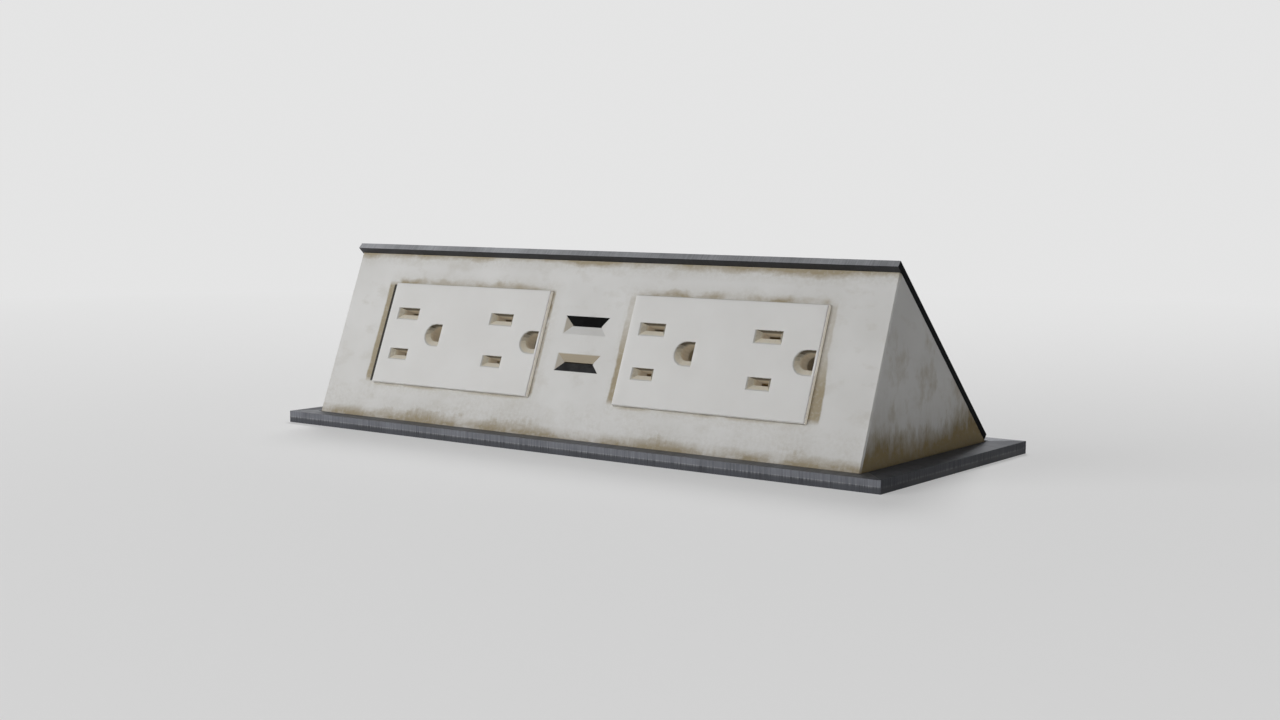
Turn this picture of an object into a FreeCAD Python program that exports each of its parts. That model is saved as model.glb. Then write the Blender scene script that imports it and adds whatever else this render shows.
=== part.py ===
import FreeCAD, Part
import math
import os

os.makedirs("parts", exist_ok=True)

# Tilt-up in-desk power module, shown raised.
# X runs to the right, Y to the back, Z up. Z = 0 is the desk surface, on which the rim rests.

# Rim seen around the module: a pressed flange below, a metal trim above.
RIM_LENGTH = 210.0
RIM_DEPTH = 84.2
SHEET = 1.68
TRIM_THICK = 2.05
BEVEL_WIDTH = 3.3
BEVEL_DROP = 0.22

# Raised wedge: front panel, end walls and lid make a sector about the hinge.
SIDE_MARGIN = 8.5
FRONT_MARGIN = 5.05
REAR_MARGIN = 8.76
PANEL_SLOPE = 68.7
LID_SLOPE = 43.7
PANEL_THICK = 2.8
END_THICK = 3.0
TAIL_DEPTH = 3.4
EDGE_CHAMFER = 0.4
RUN_GAP = 0.5

# Lid plate.
LID_THICK = 2.2
LID_LIP = 2.35
LID_SIDE_LIP = 0.05
LID_END_STEP = 0.5
LID_SHUT_GAP = 0.25
LID_CHAMFER = 0.25

# Hinge with a thin barrel sunk in the rear edge of the lid.
BARREL_RADIUS = 1.0
BORE_RADIUS = 0.55
PIN_RADIUS = 0.5
PIN_END = 0.6
LEAF_THICK = 0.7
LEAF_REACH_FRAME = 7.4
LEAF_REACH_LID = 11.6
HINGE_INSET = 11.5
KNUCKLES = 5
KNUCKLE_GAP = 0.3
BARREL_CLEAR = 0.3
NOTCH_CLEAR = 1.0

# Well under the desk.
WELL_FLOOR_CLEAR = 3.2
WELL_SIDE_ROOM = 2.2
WELL_CHAMFER = 1.2

# Outlet faces, measured across the panel (x) and up its slope (v).
FACE_LENGTH_SHARE = 0.3212
FACE_HEIGHT_SHARE = 0.6084
FACE_PROUD = 1.15
FACE_CHAMFER = 0.2
FACE_GAP = 0.15
FACE_UP_SHARE = 0.511
FACE_SPACING_SHARE = 0.4819
FACE_SHIFT = 0.7
FACE_RIM = 1.4
FACE_RIM_THICK = 1.5

# Blade slots and earth holes in each face.
OUTLET_PITCH_SHARE = 0.6105
FIRST_SLOT_SHARE = 0.3694
ROW_UPPER_SHARE = 0.1938
ROW_LOWER_SHARE = 0.2094
SLOT_DEPTH = 1.3
SLOT_UPPER = (8.95, 3.9)
SLOT_LOWER = (7.55, 3.65)
BLADE_THICK = 1.7
BLADE_END_INSET = 1.45
BLADE_UP = 0.75
EARTH_FLAT_SHARE = 0.2476
EARTH_MOUTH = (6.4, 7.1)
EARTH_HOLE = (4.9, 4.9)
EARTH_INSET = 0.3
EARTH_UP = 0.8
EARTH_DEPTH = 1.3
ARC_STEPS = 8

# Outlet bodies behind the panel, with folded brass strips and a pierced earth strap.
BODY_END_INSET = 2.0
BODY_SIDE_INSET = 3.0
BODY_DEPTH = 16.0
BODY_CHAMFER = 1.5
CHANNEL_HALF = 2.6
CHANNEL_DEPTH = 11.0
CHANNEL_START = 5.5
CHANNEL_END = 6.5
STRIP_THICK = 0.6
STRIP_DEPTH = 9.0
STRIP_CLEAR = 0.4
LEAF_GAP = 1.5
GRIP_LENGTH = 7.0
TUBE_OUTER = 3.1
TUBE_INNER = 2.6
TUBE_CLEAR = 0.1
TUBE_FRONT_GAP = 3.6
STRAP_THICK = 0.8
STRAP_HALF = 4.2
STRAP_END = 4.5

# Small round things and their holes have flat sides: few on fasteners, more on tubes and barrels.
SMALL_SIDES = 8
ROUND_SIDES = 16

# Screws, all of one kind.
HEAD_RADIUS = 2.2
HEAD_HEIGHT = 1.6
SHANK_RADIUS = 1.2
SHANK_LENGTH = 5.0
TERMINAL_ACROSS = 4.0
CLAMP_END_INSET = 7.0
CLAMP_OFFSET = 1.9
BOSS_RADIUS = 1.85

# Charging ports in the middle of the panel.
PORT_ACROSS = 0.15
PORT_UPPER_SHARE = 0.631
PORT_LOWER_SHARE = 0.423
PORT_MOUTH = (15.8, 5.5)
PORT_RIDGE = (10.4, 0.3)
PORT_RIDGE_DEPTH = 0.6
PORT_CAN = (13.2, 5.7)
PORT_CAN_WALL = 0.4
PORT_CAN_DEPTH = 13.0
TONGUE_HALF = 5.0
TONGUE_THICK = 2.0
TONGUE_CLEAR = 0.35
BOARD_THICK = 1.6
BOARD_SIDE_CLEAR = 5.5
POST_OFFSET = 5.85
BOARD_OVERHANG = 2.3
POST_RADIUS = 2.2
CHARGER_SIDE = 2.5
CHARGER_CLEAR = 3.3
CHARGER_DEPTH = 7.5
CHARGER_CHAMFER = 1.0

# Bottom cover of the module and the corner blocks it is screwed to.
COVER_THICK = 1.2
COVER_RISE = 0.5
COVER_SIDE_GAP = 0.3
COVER_END = 1.2
COVER_TOP_GAP = 0.3
BLOCK = 8.0
BLOCK_FRONT_OFFSET = 7.05
BLOCK_REAR_OFFSET = 18.35

# Flanges inside the end walls that carry the lid, on welded studs with nuts.
LID_FLANGE_WIDE = 9.0
LID_FLANGE_THICK = 3.0
LID_FLANGE_FROM = 14.0
LID_FLANGE_SHORT = 5.0
STUD_RADIUS = 1.5
STUD_LENGTH = 6.2
STUD_INSET = 7.5
STUD_END_INSET = 6.0
STUD_HOLE_CLEAR = 0.15
NUT_SIDES = 6
NUT_FLATS = 5.5
NUT_HEIGHT = 2.4

# Stop pins that catch under the side rails when the module is raised.
STOP_RADIUS = 1.3
STOP_DROP = 1.6
STOP_REACH = 2.0
STOP_OFFSETS = (9.05, 25.05)

# Fixings of the rim.
CSK_RADIUS = 1.8
CSK_SHANK = 1.0
CSK_HEAD = 0.9
CSK_LENGTH = 3.2
TRIM_SCREW_INSET = 2.0
TRIM_SCREW_CORNER = 3.1
TRIM_SCREW_REAR_INSET = 2.8
TRIM_SCREW_REAR_SHARE = 0.25
LEAF_SCREW_END = 17.0
LEAF_SCREW_COUNT = 4
LEAF_SCREW_HEAD = 1.9
LEAF_SCREW_RISE = 0.7
LEAF_SCREW_SHANK = 1.0
LEAF_SCREW_DEPTH = 3.0
LEAF_SCREW_BACK = 3.6
LID_SCREW_ALONG = 8.0
LID_SCREW_DEPTH = 1.6

# Spring clips on the sides of the well, which grip the desk from below.
CLIP_THICK = 0.8
CLIP_WIDE = 14.0
CLIP_INSET = 19.0
CLIP_BOW = 2.9
CLIP_FOOT_UP = 5.0
CLIP_BEND_UP = 15.0
CLIP_BELLY_UP = 29.0
CLIP_TIP_DROP = 9.0
CLIP_TIP_GAP = 0.5
RIVET_RADIUS = 1.3
RIVET_HEAD = 2.3
RIVET_HEAD_OUT = 0.7
RIVET_HEAD_IN = 0.4
RIVET_OVER_FOOT = 5.0

# Rubber bush in the rear wall of the well, where a cord would pass.
BUSH_END_INSET = 36.5
BUSH_OVER_FLOOR = 23.0
BUSH_BORE = 4.5
BUSH_NECK = 6.2
BUSH_FLANGE = 8.5
BUSH_LIP_IN = 1.0
BUSH_LIP_OUT = 2.6
BUSH_TAPER = 1.0

FRAME_TOP = SHEET + TRIM_THICK
PANEL_FOOT = FRONT_MARGIN - RIM_DEPTH / 2
WEDGE_LENGTH = RIM_LENGTH - 2 * SIDE_MARGIN
WEDGE_SPAN = RIM_DEPTH - FRONT_MARGIN - REAR_MARGIN
PANEL_RISE = math.sin(math.radians(PANEL_SLOPE))
PANEL_RUN = math.cos(math.radians(PANEL_SLOPE))
LID_RISE = math.sin(math.radians(LID_SLOPE))
LID_RUN = math.cos(math.radians(LID_SLOPE))
PANEL_LENGTH = WEDGE_SPAN * LID_RISE / math.sin(math.radians(PANEL_SLOPE + LID_SLOPE))
CREST_Y = PANEL_FOOT + PANEL_LENGTH * PANEL_RUN
CREST_Z = FRAME_TOP + PANEL_LENGTH * PANEL_RISE
LID_UNDER_LENGTH = (CREST_Z - FRAME_TOP) / LID_RISE
HEEL_Y = CREST_Y + LID_UNDER_LENGTH * LID_RUN
HALF_WEDGE = WEDGE_LENGTH / 2
OPEN_HALF = HALF_WEDGE + RUN_GAP
OPEN_FRONT = PANEL_FOOT - RUN_GAP

# The barrel centre lies half the lid's thickness above the lid's underside, and at a height
# that leaves the shut lid just clear of the trim.
PIVOT_OUT = LID_THICK / 2
PIVOT_ALONG = (LID_SHUT_GAP + PIVOT_OUT * (1 - LID_RUN)) / LID_RISE
PIVOT_Y = HEEL_Y - PIVOT_ALONG * LID_RUN + PIVOT_OUT * LID_RISE
PIVOT_Z = FRAME_TOP + LID_SHUT_GAP + PIVOT_OUT
OPEN_REAR = PIVOT_Y + PIVOT_ALONG + RUN_GAP

SHUT_FOOT_DROP = (PIVOT_Y - PANEL_FOOT) * LID_RISE + (PIVOT_Z + TAIL_DEPTH) * LID_RUN - PIVOT_Z
WELL_INSIDE_DEPTH = SHUT_FOOT_DROP + WELL_FLOOR_CLEAR
WELL_HALF = OPEN_HALF + WELL_SIDE_ROOM
PANEL_BACK = -PANEL_THICK
RIM_BACK = PANEL_BACK - FACE_RIM_THICK
BODY_BACK = RIM_BACK - BODY_DEPTH
BOARD_FRONT = PANEL_BACK - PORT_CAN_DEPTH
BOARD_BACK = BOARD_FRONT - BOARD_THICK
FACE_LENGTH = FACE_LENGTH_SHARE * WEDGE_LENGTH
FACE_HEIGHT = FACE_HEIGHT_SHARE * PANEL_LENGTH
FACE_SPACING = FACE_SPACING_SHARE * WEDGE_LENGTH
FACE_UP = FACE_UP_SHARE * PANEL_LENGTH
FACE_ACROSS = {"left": FACE_SHIFT - FACE_SPACING / 2, "right": FACE_SHIFT + FACE_SPACING / 2}
FIRST_SLOT = -FIRST_SLOT_SHARE * FACE_LENGTH
OUTLET_PITCH = OUTLET_PITCH_SHARE * FACE_LENGTH
OUTLETS = (FIRST_SLOT, FIRST_SLOT + OUTLET_PITCH)
EARTH_FLAT = EARTH_FLAT_SHARE * FACE_LENGTH
ROW_UPPER = ROW_UPPER_SHARE * FACE_HEIGHT
ROW_LOWER = -ROW_LOWER_SHARE * FACE_HEIGHT
CLAMP_ACROSS = FACE_LENGTH / 2 - CLAMP_END_INSET
BODY_LENGTH = FACE_LENGTH - 2 * BODY_END_INSET
BODY_HEIGHT = FACE_HEIGHT - 2 * BODY_SIDE_INSET
BOARD_HALF = (FACE_SPACING - BODY_LENGTH) / 2 - BOARD_SIDE_CLEAR
CHARGER_HALF = BOARD_HALF - CHARGER_SIDE
PORT_UPPER = PORT_UPPER_SHARE * PANEL_LENGTH
PORT_LOWER = PORT_LOWER_SHARE * PANEL_LENGTH
BOARD_POSTS = (PORT_LOWER - POST_OFFSET, PORT_UPPER + POST_OFFSET)
HINGE_LENGTH = WEDGE_LENGTH - 2 * HINGE_INSET
LEAF_SCREW_STEP = (HINGE_LENGTH - 2 * LEAF_SCREW_END) / (LEAF_SCREW_COUNT - 1)
LEAF_SCREW_FIRST = LEAF_SCREW_END - HINGE_LENGTH / 2
LEAF_SCREWS = [LEAF_SCREW_FIRST + i * LEAF_SCREW_STEP for i in range(LEAF_SCREW_COUNT)]
BUSH_ACROSS = HALF_WEDGE - BUSH_END_INSET
STOP_PLACES = [PANEL_FOOT + offset for offset in STOP_OFFSETS]
BLOCK_PLACES = (PANEL_FOOT + BLOCK_FRONT_OFFSET, HEEL_Y - BLOCK_REAR_OFFSET)
CLIP_PLACES = (OPEN_FRONT + CLIP_INSET, OPEN_REAR - CLIP_INSET)
CLIP_FOOT = CLIP_FOOT_UP - WELL_INSIDE_DEPTH
CLIP_BEND = CLIP_BEND_UP - WELL_INSIDE_DEPTH
CLIP_BELLY = CLIP_BELLY_UP - WELL_INSIDE_DEPTH
RIVET_UP = CLIP_FOOT + RIVET_OVER_FOOT
BUSH_UP = BUSH_OVER_FLOOR - WELL_INSIDE_DEPTH
STUDS_ALONG = (LID_FLANGE_FROM + STUD_END_INSET, LID_UNDER_LENGTH - LID_FLANGE_SHORT - STUD_END_INSET)


def block(x0, x1, y0, y1, z0, z1):
    return Part.makeBox(x1 - x0, y1 - y0, z1 - z0, FreeCAD.Vector(x0, y0, z0))


def rod(radius, start, end):
    direction = FreeCAD.Vector(*end) - FreeCAD.Vector(*start)
    return Part.makeCylinder(radius, direction.Length, FreeCAD.Vector(*start), direction)


def ring_points(radius, sides, x=0, y=0):
    turns = [math.radians(360 * (i + 0.5) / sides) for i in range(sides)]
    return [(x + radius * math.cos(t), y + radius * math.sin(t)) for t in turns]


def small_rod(radius, start, end, sides=SMALL_SIDES, end_radius=None):
    """Rod with a few flat sides, for a small round thing or its hole. It can narrow to its end."""
    way = FreeCAD.Vector(*end) - FreeCAD.Vector(*start)
    near = outline_xy(ring_points(radius, sides), 0)
    bar = between(near, outline_xy(ring_points(end_radius or radius, sides), way.Length))
    bar.Placement = FreeCAD.Placement(
        FreeCAD.Vector(*start), FreeCAD.Rotation(FreeCAD.Vector(0, 0, 1), way)
    )
    return bar


def profile_along_x(points, x0, x1):
    corners = [FreeCAD.Vector(x0, y, z) for y, z in points]
    face = Part.Face(Part.makePolygon(corners + corners[:1]))
    return face.extrude(FreeCAD.Vector(x1 - x0, 0, 0))


def outline_xy(points, z):
    corners = [FreeCAD.Vector(x, y, z) for x, y in points]
    return Part.makePolygon(corners + corners[:1])


def rectangle(x0, x1, y0, y1, z):
    return outline_xy([(x0, y0), (x1, y0), (x1, y1), (x0, y1)], z)


def between(lower, upper):
    return Part.makeLoft([lower, upper], True, True)


def on_panel(shape):
    """Moves a shape drawn as x, v up the slope, w out of the panel to the raised panel."""
    placed = shape.copy()
    placed.rotate(FreeCAD.Vector(0, 0, 0), FreeCAD.Vector(1, 0, 0), PANEL_SLOPE)
    placed.translate(FreeCAD.Vector(0, PANEL_FOOT, FRAME_TOP))
    return placed


def on_lid(shape):
    """Moves a shape drawn as x, minus the distance up the lid, height over its underside."""
    placed = shape.copy()
    placed.rotate(FreeCAD.Vector(0, 0, 0), FreeCAD.Vector(1, 0, 0), -LID_SLOPE)
    placed.translate(FreeCAD.Vector(0, HEEL_Y, FRAME_TOP))
    return placed


def lid_block(x0, x1, along0, along1, over0, over1):
    return block(x0, x1, -along1, -along0, over0, over1)


def screw(start, direction, head_radius, head_height, shank_radius, shank_length):
    """Screw: start is where the head seats, direction points into the work."""
    seat = FreeCAD.Vector(*start)
    way = FreeCAD.Vector(*direction)
    head = small_rod(head_radius, seat - way * head_height, seat)
    return head.fuse(small_rod(shank_radius, seat, seat + way * shank_length))


def common_screw(start, shank_length):
    """Screw of the one size used in the module, driven along Z as its group is drawn."""
    return screw(start, (0, 0, 1), HEAD_RADIUS, HEAD_HEIGHT, SHANK_RADIUS, shank_length)


def save(name, shapes):
    whole = Part.makeCompound(shapes) if len(shapes) > 1 else shapes[0]
    whole.removeSplitter().exportStep("parts/" + name + ".step")


def cut_all(shape, tools):
    return shape.cut(tools[0].multiFuse(tools[1:]))


# Metal trim with a mitred bevel round its top edge, screwed to the flange from below.
def trim_screw_places():
    across = RIM_LENGTH / 2 - TRIM_SCREW_INSET
    corner = RIM_DEPTH / 2 - TRIM_SCREW_CORNER
    rear = RIM_DEPTH / 2 - TRIM_SCREW_REAR_INSET
    places = [(side * across, end * corner) for side in (-1, 1) for end in (-1, 1)]
    return places + [(side * RIM_LENGTH * TRIM_SCREW_REAR_SHARE, rear) for side in (-1, 1)]


def countersunk(x, y):
    head = small_rod(CSK_RADIUS, (x, y, 0), (x, y, CSK_HEAD), end_radius=CSK_SHANK)
    return head.fuse(small_rod(CSK_SHANK, (x, y, CSK_HEAD), (x, y, CSK_LENGTH)))


def leaf_screw_holes():
    y = PIVOT_Y + LEAF_SCREW_BACK
    top = FRAME_TOP + LEAF_THICK
    low = top - LEAF_SCREW_DEPTH
    return [small_rod(LEAF_SCREW_SHANK, (x, y, top), (x, y, low)) for x in LEAF_SCREWS]


def build_rim():
    half_x = RIM_LENGTH / 2
    half_y = RIM_DEPTH / 2
    inner_x = half_x - BEVEL_WIDTH
    inner_y = half_y - BEVEL_WIDTH
    opening = block(-OPEN_HALF, OPEN_HALF, OPEN_FRONT, OPEN_REAR, -WELL_INSIDE_DEPTH, FRAME_TOP)
    shoulder = FRAME_TOP - BEVEL_DROP
    band = block(-half_x, half_x, -half_y, half_y, SHEET, shoulder)
    bevel = between(
        rectangle(-half_x, half_x, -half_y, half_y, shoulder),
        rectangle(-inner_x, inner_x, -inner_y, inner_y, FRAME_TOP),
    )
    screw_holes = [countersunk(x, y) for x, y in trim_screw_places()]
    trim = cut_all(band.fuse(bevel), [opening] + screw_holes + leaf_screw_holes())
    save("trim_frame", [trim])
    save("trim_screws", screw_holes)

    flange = block(-half_x, half_x, -half_y, half_y, 0, SHEET)
    outer_x = WELL_HALF + SHEET
    outer_low = -WELL_INSIDE_DEPTH - SHEET
    outer = block(-outer_x, outer_x, OPEN_FRONT - SHEET, OPEN_REAR + SHEET, outer_low, SHEET)
    corners = [e for e in outer.Edges if e.BoundBox.ZMin < 0]
    outer = outer.makeChamfer(WELL_CHAMFER, corners)
    inner = block(-WELL_HALF, WELL_HALF, OPEN_FRONT, OPEN_REAR, -WELL_INSIDE_DEPTH, 0)
    through = block(-OPEN_HALF, OPEN_HALF, OPEN_FRONT, OPEN_REAR, 0, SHEET)
    holes = [bush_ring(BUSH_NECK, 0, SHEET)] + screw_holes + leaf_screw_holes() + rivet_holes()
    save("well_tub", [cut_all(flange.fuse(outer), [inner, through] + holes)])


# Leaf springs riveted to the outside of the well.
def clip_spots():
    return [(side, y) for side in (-1, 1) for y in CLIP_PLACES]


def rivet_rod(radius, side, y, near, far):
    """Rod square to a side wall of the well, near and far being distances off the wall's inside."""
    start = (side * (WELL_HALF + near), y, RIVET_UP)
    return small_rod(radius, start, (side * (WELL_HALF + far), y, RIVET_UP))


def rivet_holes():
    return [rivet_rod(RIVET_RADIUS, side, y, 0, SHEET + CLIP_THICK) for side, y in clip_spots()]


def build_clips():
    clips = []
    rivets = []
    wall = WELL_HALF + SHEET
    outside = SHEET + CLIP_THICK
    for (side, y), hole in zip(clip_spots(), rivet_holes()):
        line = [
            (wall, CLIP_FOOT), (wall, CLIP_BEND),
            (wall + CLIP_BOW, CLIP_BELLY), (wall + CLIP_TIP_GAP, -CLIP_TIP_DROP),
        ]
        back = [(x + CLIP_THICK, z) for x, z in reversed(line)]
        corners = [FreeCAD.Vector(side * x, y - CLIP_WIDE / 2, z) for x, z in line + back]
        strip = Part.Face(Part.makePolygon(corners + corners[:1])).extrude(FreeCAD.Vector(0, CLIP_WIDE, 0))
        clips.append(strip.cut(hole))
        outer_head = rivet_rod(RIVET_HEAD, side, y, outside, outside + RIVET_HEAD_OUT)
        inner_head = rivet_rod(RIVET_HEAD, side, y, -RIVET_HEAD_IN, 0)
        rivets.append(hole.fuse([outer_head, inner_head]))
    save("desk_clips", clips)
    save("clip_rivets", rivets)


# Rubber grommet like a spool round the cord hole.
def bush_ring(radius, near, far, end_radius=None):
    start = (BUSH_ACROSS, OPEN_REAR + near, BUSH_UP)
    return small_rod(radius, start, (BUSH_ACROSS, OPEN_REAR + far, BUSH_UP), ROUND_SIDES, end_radius)


def build_bush():
    near = -BUSH_LIP_IN
    far = SHEET + BUSH_LIP_OUT
    spool = bush_ring(BUSH_FLANGE, near, 0).fuse([
        bush_ring(BUSH_NECK, 0, SHEET),
        bush_ring(BUSH_FLANGE, SHEET, far, BUSH_FLANGE - BUSH_TAPER),
    ])
    bore = rod(BUSH_BORE, (BUSH_ACROSS, OPEN_REAR + near, BUSH_UP), (BUSH_ACROSS, OPEN_REAR + far, BUSH_UP))
    save("cord_bush", [spool.cut(bore)])


# Hinge: knuckles alternate between the leaf on the rear rail and the leaf let into the lid.
def knuckle_spans():
    pitch = HINGE_LENGTH / KNUCKLES
    starts = [-HINGE_LENGTH / 2 + i * pitch for i in range(KNUCKLES)]
    return [(start + KNUCKLE_GAP / 2, start + pitch - KNUCKLE_GAP / 2) for start in starts]


def build_hinge():
    axis_y = PIVOT_Y
    axis_z = PIVOT_Z
    spans = knuckle_spans()
    reach = BARREL_RADIUS + BARREL_CLEAR
    half = HINGE_LENGTH / 2
    bore = rod(BORE_RADIUS, (-half, axis_y, axis_z), (half, axis_y, axis_z))

    plate = block(-half, half, axis_y + reach, axis_y + LEAF_REACH_FRAME, FRAME_TOP, FRAME_TOP + LEAF_THICK)
    grown = []
    for x0, x1 in spans[0::2]:
        grown.append(small_rod(BARREL_RADIUS, (x0, axis_y, axis_z), (x1, axis_y, axis_z), ROUND_SIDES))
        grown.append(block(x0, x1, axis_y, axis_y + reach, FRAME_TOP, FRAME_TOP + LEAF_THICK))
    leaf = cut_all(plate.multiFuse(grown), [bore] + leaf_screw_holes())
    save("hinge_frame_leaf", [leaf])
    seat = FRAME_TOP + LEAF_THICK
    screws = [
        screw(
            (x, axis_y + LEAF_SCREW_BACK, seat), (0, 0, -1),
            LEAF_SCREW_HEAD, LEAF_SCREW_RISE, LEAF_SCREW_SHANK, LEAF_SCREW_DEPTH,
        )
        for x in LEAF_SCREWS
    ]
    save("frame_leaf_screws", screws)

    save("hinge_pin", [rod(PIN_RADIUS, (-half - PIN_END, axis_y, axis_z), (half + PIN_END, axis_y, axis_z))])

    grown = []
    for x0, x1 in spans[1::2]:
        centre = (-PIVOT_ALONG, PIVOT_OUT)
        grown.append(small_rod(BARREL_RADIUS, (x0, *centre), (x1, *centre), ROUND_SIDES))
        grown.append(lid_block(x0, x1, PIVOT_ALONG, PIVOT_ALONG + reach, 0, LEAF_THICK))
    plate = lid_block(-half, half, PIVOT_ALONG + reach, PIVOT_ALONG + LEAF_REACH_LID, 0, LEAF_THICK)
    bore = rod(BORE_RADIUS, (-half, -PIVOT_ALONG, PIVOT_OUT), (half, -PIVOT_ALONG, PIVOT_OUT))
    leaf = cut_all(plate.multiFuse(grown), [bore] + lid_screw_shanks())
    save("hinge_lid_leaf", [on_lid(leaf)])
    screws = [
        screw(
            (x, -LID_SCREW_ALONG, 0), (0, 0, 1),
            LEAF_SCREW_HEAD, LEAF_SCREW_RISE, LEAF_SCREW_SHANK, LID_SCREW_DEPTH,
        )
        for x in LEAF_SCREWS
    ]
    save("lid_leaf_screws", [on_lid(s) for s in screws])


def lid_screw_shanks():
    return [
        small_rod(LEAF_SCREW_SHANK, (x, -LID_SCREW_ALONG, 0), (x, -LID_SCREW_ALONG, LID_SCREW_DEPTH))
        for x in LEAF_SCREWS
    ]


# Lid: flat plate, notched for the barrel, let in for the hinge leaf, with four studs below.
def stud_places():
    return [(side * (HALF_WEDGE - STUD_INSET), along) for side in (-1, 1) for along in STUDS_ALONG]


def build_lid():
    half = HALF_WEDGE + LID_SIDE_LIP
    plate = lid_block(-half, half, LID_END_STEP, LID_UNDER_LENGTH + LID_LIP, 0, LID_THICK)
    rim_edges = [e for e in plate.Edges if e.BoundBox.ZMin > LID_THICK / 2]
    plate = plate.makeChamfer(LID_CHAMFER, rim_edges)
    notch_half = HINGE_LENGTH / 2 + NOTCH_CLEAR
    notch_end = PIVOT_ALONG + BARREL_RADIUS + BARREL_CLEAR
    notch = lid_block(-notch_half, notch_half, 0, notch_end, 0, LID_THICK)
    leaf_seat = lid_block(
        -HINGE_LENGTH / 2, HINGE_LENGTH / 2, notch_end, PIVOT_ALONG + LEAF_REACH_LID, 0, LEAF_THICK
    )
    plate = cut_all(plate, [notch, leaf_seat] + lid_screw_shanks())
    studs = [small_rod(STUD_RADIUS, (x, -along, -STUD_LENGTH), (x, -along, 0)) for x, along in stud_places()]
    save("lid_plate", [on_lid(plate.multiFuse(studs))])

    nuts = []
    corner_radius = NUT_FLATS / math.sqrt(3)
    top = -LID_FLANGE_THICK
    low = top - NUT_HEIGHT
    for x, along in stud_places():
        ring = ring_points(corner_radius, NUT_SIDES, x, -along)
        prism = between(outline_xy(ring, low), outline_xy(ring, top))
        nuts.append(on_lid(prism.cut(small_rod(STUD_RADIUS, (x, -along, low), (x, -along, top)))))
    save("lid_nuts", nuts)


# Mouths in the outlet faces: a tapered lead-in down to the real slot or pin hole.
def slot_cut(x, v, mouth):
    length, height = mouth
    floor = FACE_PROUD - SLOT_DEPTH
    half_blade = length / 2 - BLADE_END_INSET
    low = v + BLADE_UP - BLADE_THICK / 2
    high = v + BLADE_UP + BLADE_THICK / 2
    taper = between(
        rectangle(x - half_blade, x + half_blade, low, high, floor),
        rectangle(x - length / 2, x + length / 2, v - height / 2, v + height / 2, FACE_PROUD),
    )
    return taper.fuse(block(x - half_blade, x + half_blade, low, high, RIM_BACK, floor))


def d_outline(flat_x, v, size, w):
    """Outline with a flat side to the right and a half-round side to the left."""
    width, height = size
    radius = height / 2
    centre_x = flat_x - width + radius
    turns = [math.radians(90 + 180 * i / ARC_STEPS) for i in range(ARC_STEPS + 1)]
    arc = [(centre_x + radius * math.cos(t), v + radius * math.sin(t)) for t in turns]
    return outline_xy(arc + [(flat_x, v - radius), (flat_x, v + radius)], w)


def earth_cut(flat_x, v):
    floor = FACE_PROUD - EARTH_DEPTH
    hole = d_outline(flat_x - EARTH_INSET, v + EARTH_UP, EARTH_HOLE, floor)
    taper = between(hole, d_outline(flat_x, v, EARTH_MOUTH, FACE_PROUD))
    deep = Part.Face(hole).extrude(FreeCAD.Vector(0, 0, RIM_BACK - floor))
    return taper.fuse(deep)


def earth_centre(x):
    return x + EARTH_FLAT - EARTH_INSET - EARTH_HOLE[0] / 2


def clamp_places(across):
    reach = FACE_HEIGHT / 2 + FACE_RIM + CLAMP_OFFSET
    return [(across + sx * CLAMP_ACROSS, FACE_UP + sv * reach) for sx in (-1, 1) for sv in (-1, 1)]


def build_outlet(side, across):
    half_x = FACE_LENGTH / 2
    half_v = FACE_HEIGHT / 2
    face = block(across - half_x, across + half_x, FACE_UP - half_v, FACE_UP + half_v, RIM_BACK, FACE_PROUD)
    front_edges = [e for e in face.Edges if e.BoundBox.ZMin > 0]
    face = face.makeChamfer(FACE_CHAMFER, front_edges)
    rim = block(
        across - half_x - FACE_RIM, across + half_x + FACE_RIM,
        FACE_UP - half_v - FACE_RIM, FACE_UP + half_v + FACE_RIM, RIM_BACK, PANEL_BACK,
    )
    cuts = []
    for outlet in OUTLETS:
        cuts.append(slot_cut(across + outlet, FACE_UP + ROW_UPPER, SLOT_UPPER))
        cuts.append(slot_cut(across + outlet, FACE_UP + ROW_LOWER, SLOT_LOWER))
        cuts.append(earth_cut(across + outlet + EARTH_FLAT, FACE_UP))
    save("receptacle_face_" + side, [on_panel(cut_all(face.fuse(rim), cuts))])

    build_outlet_body(side, across)
    build_power_strips(side, across)
    build_earth_strap(side, across)


def terminal_places(across):
    return [(across - TERMINAL_ACROSS, sign) for sign in (-1, 1)]


def row_of(sign):
    return FACE_UP + BLADE_UP + (ROW_UPPER if sign > 0 else ROW_LOWER)


def terminal_shank(x, sign, start):
    end = row_of(sign) + sign * CHANNEL_HALF
    level = RIM_BACK - STRIP_DEPTH / 2
    return small_rod(SHANK_RADIUS, (x, start, level), (x, end, level))


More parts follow.
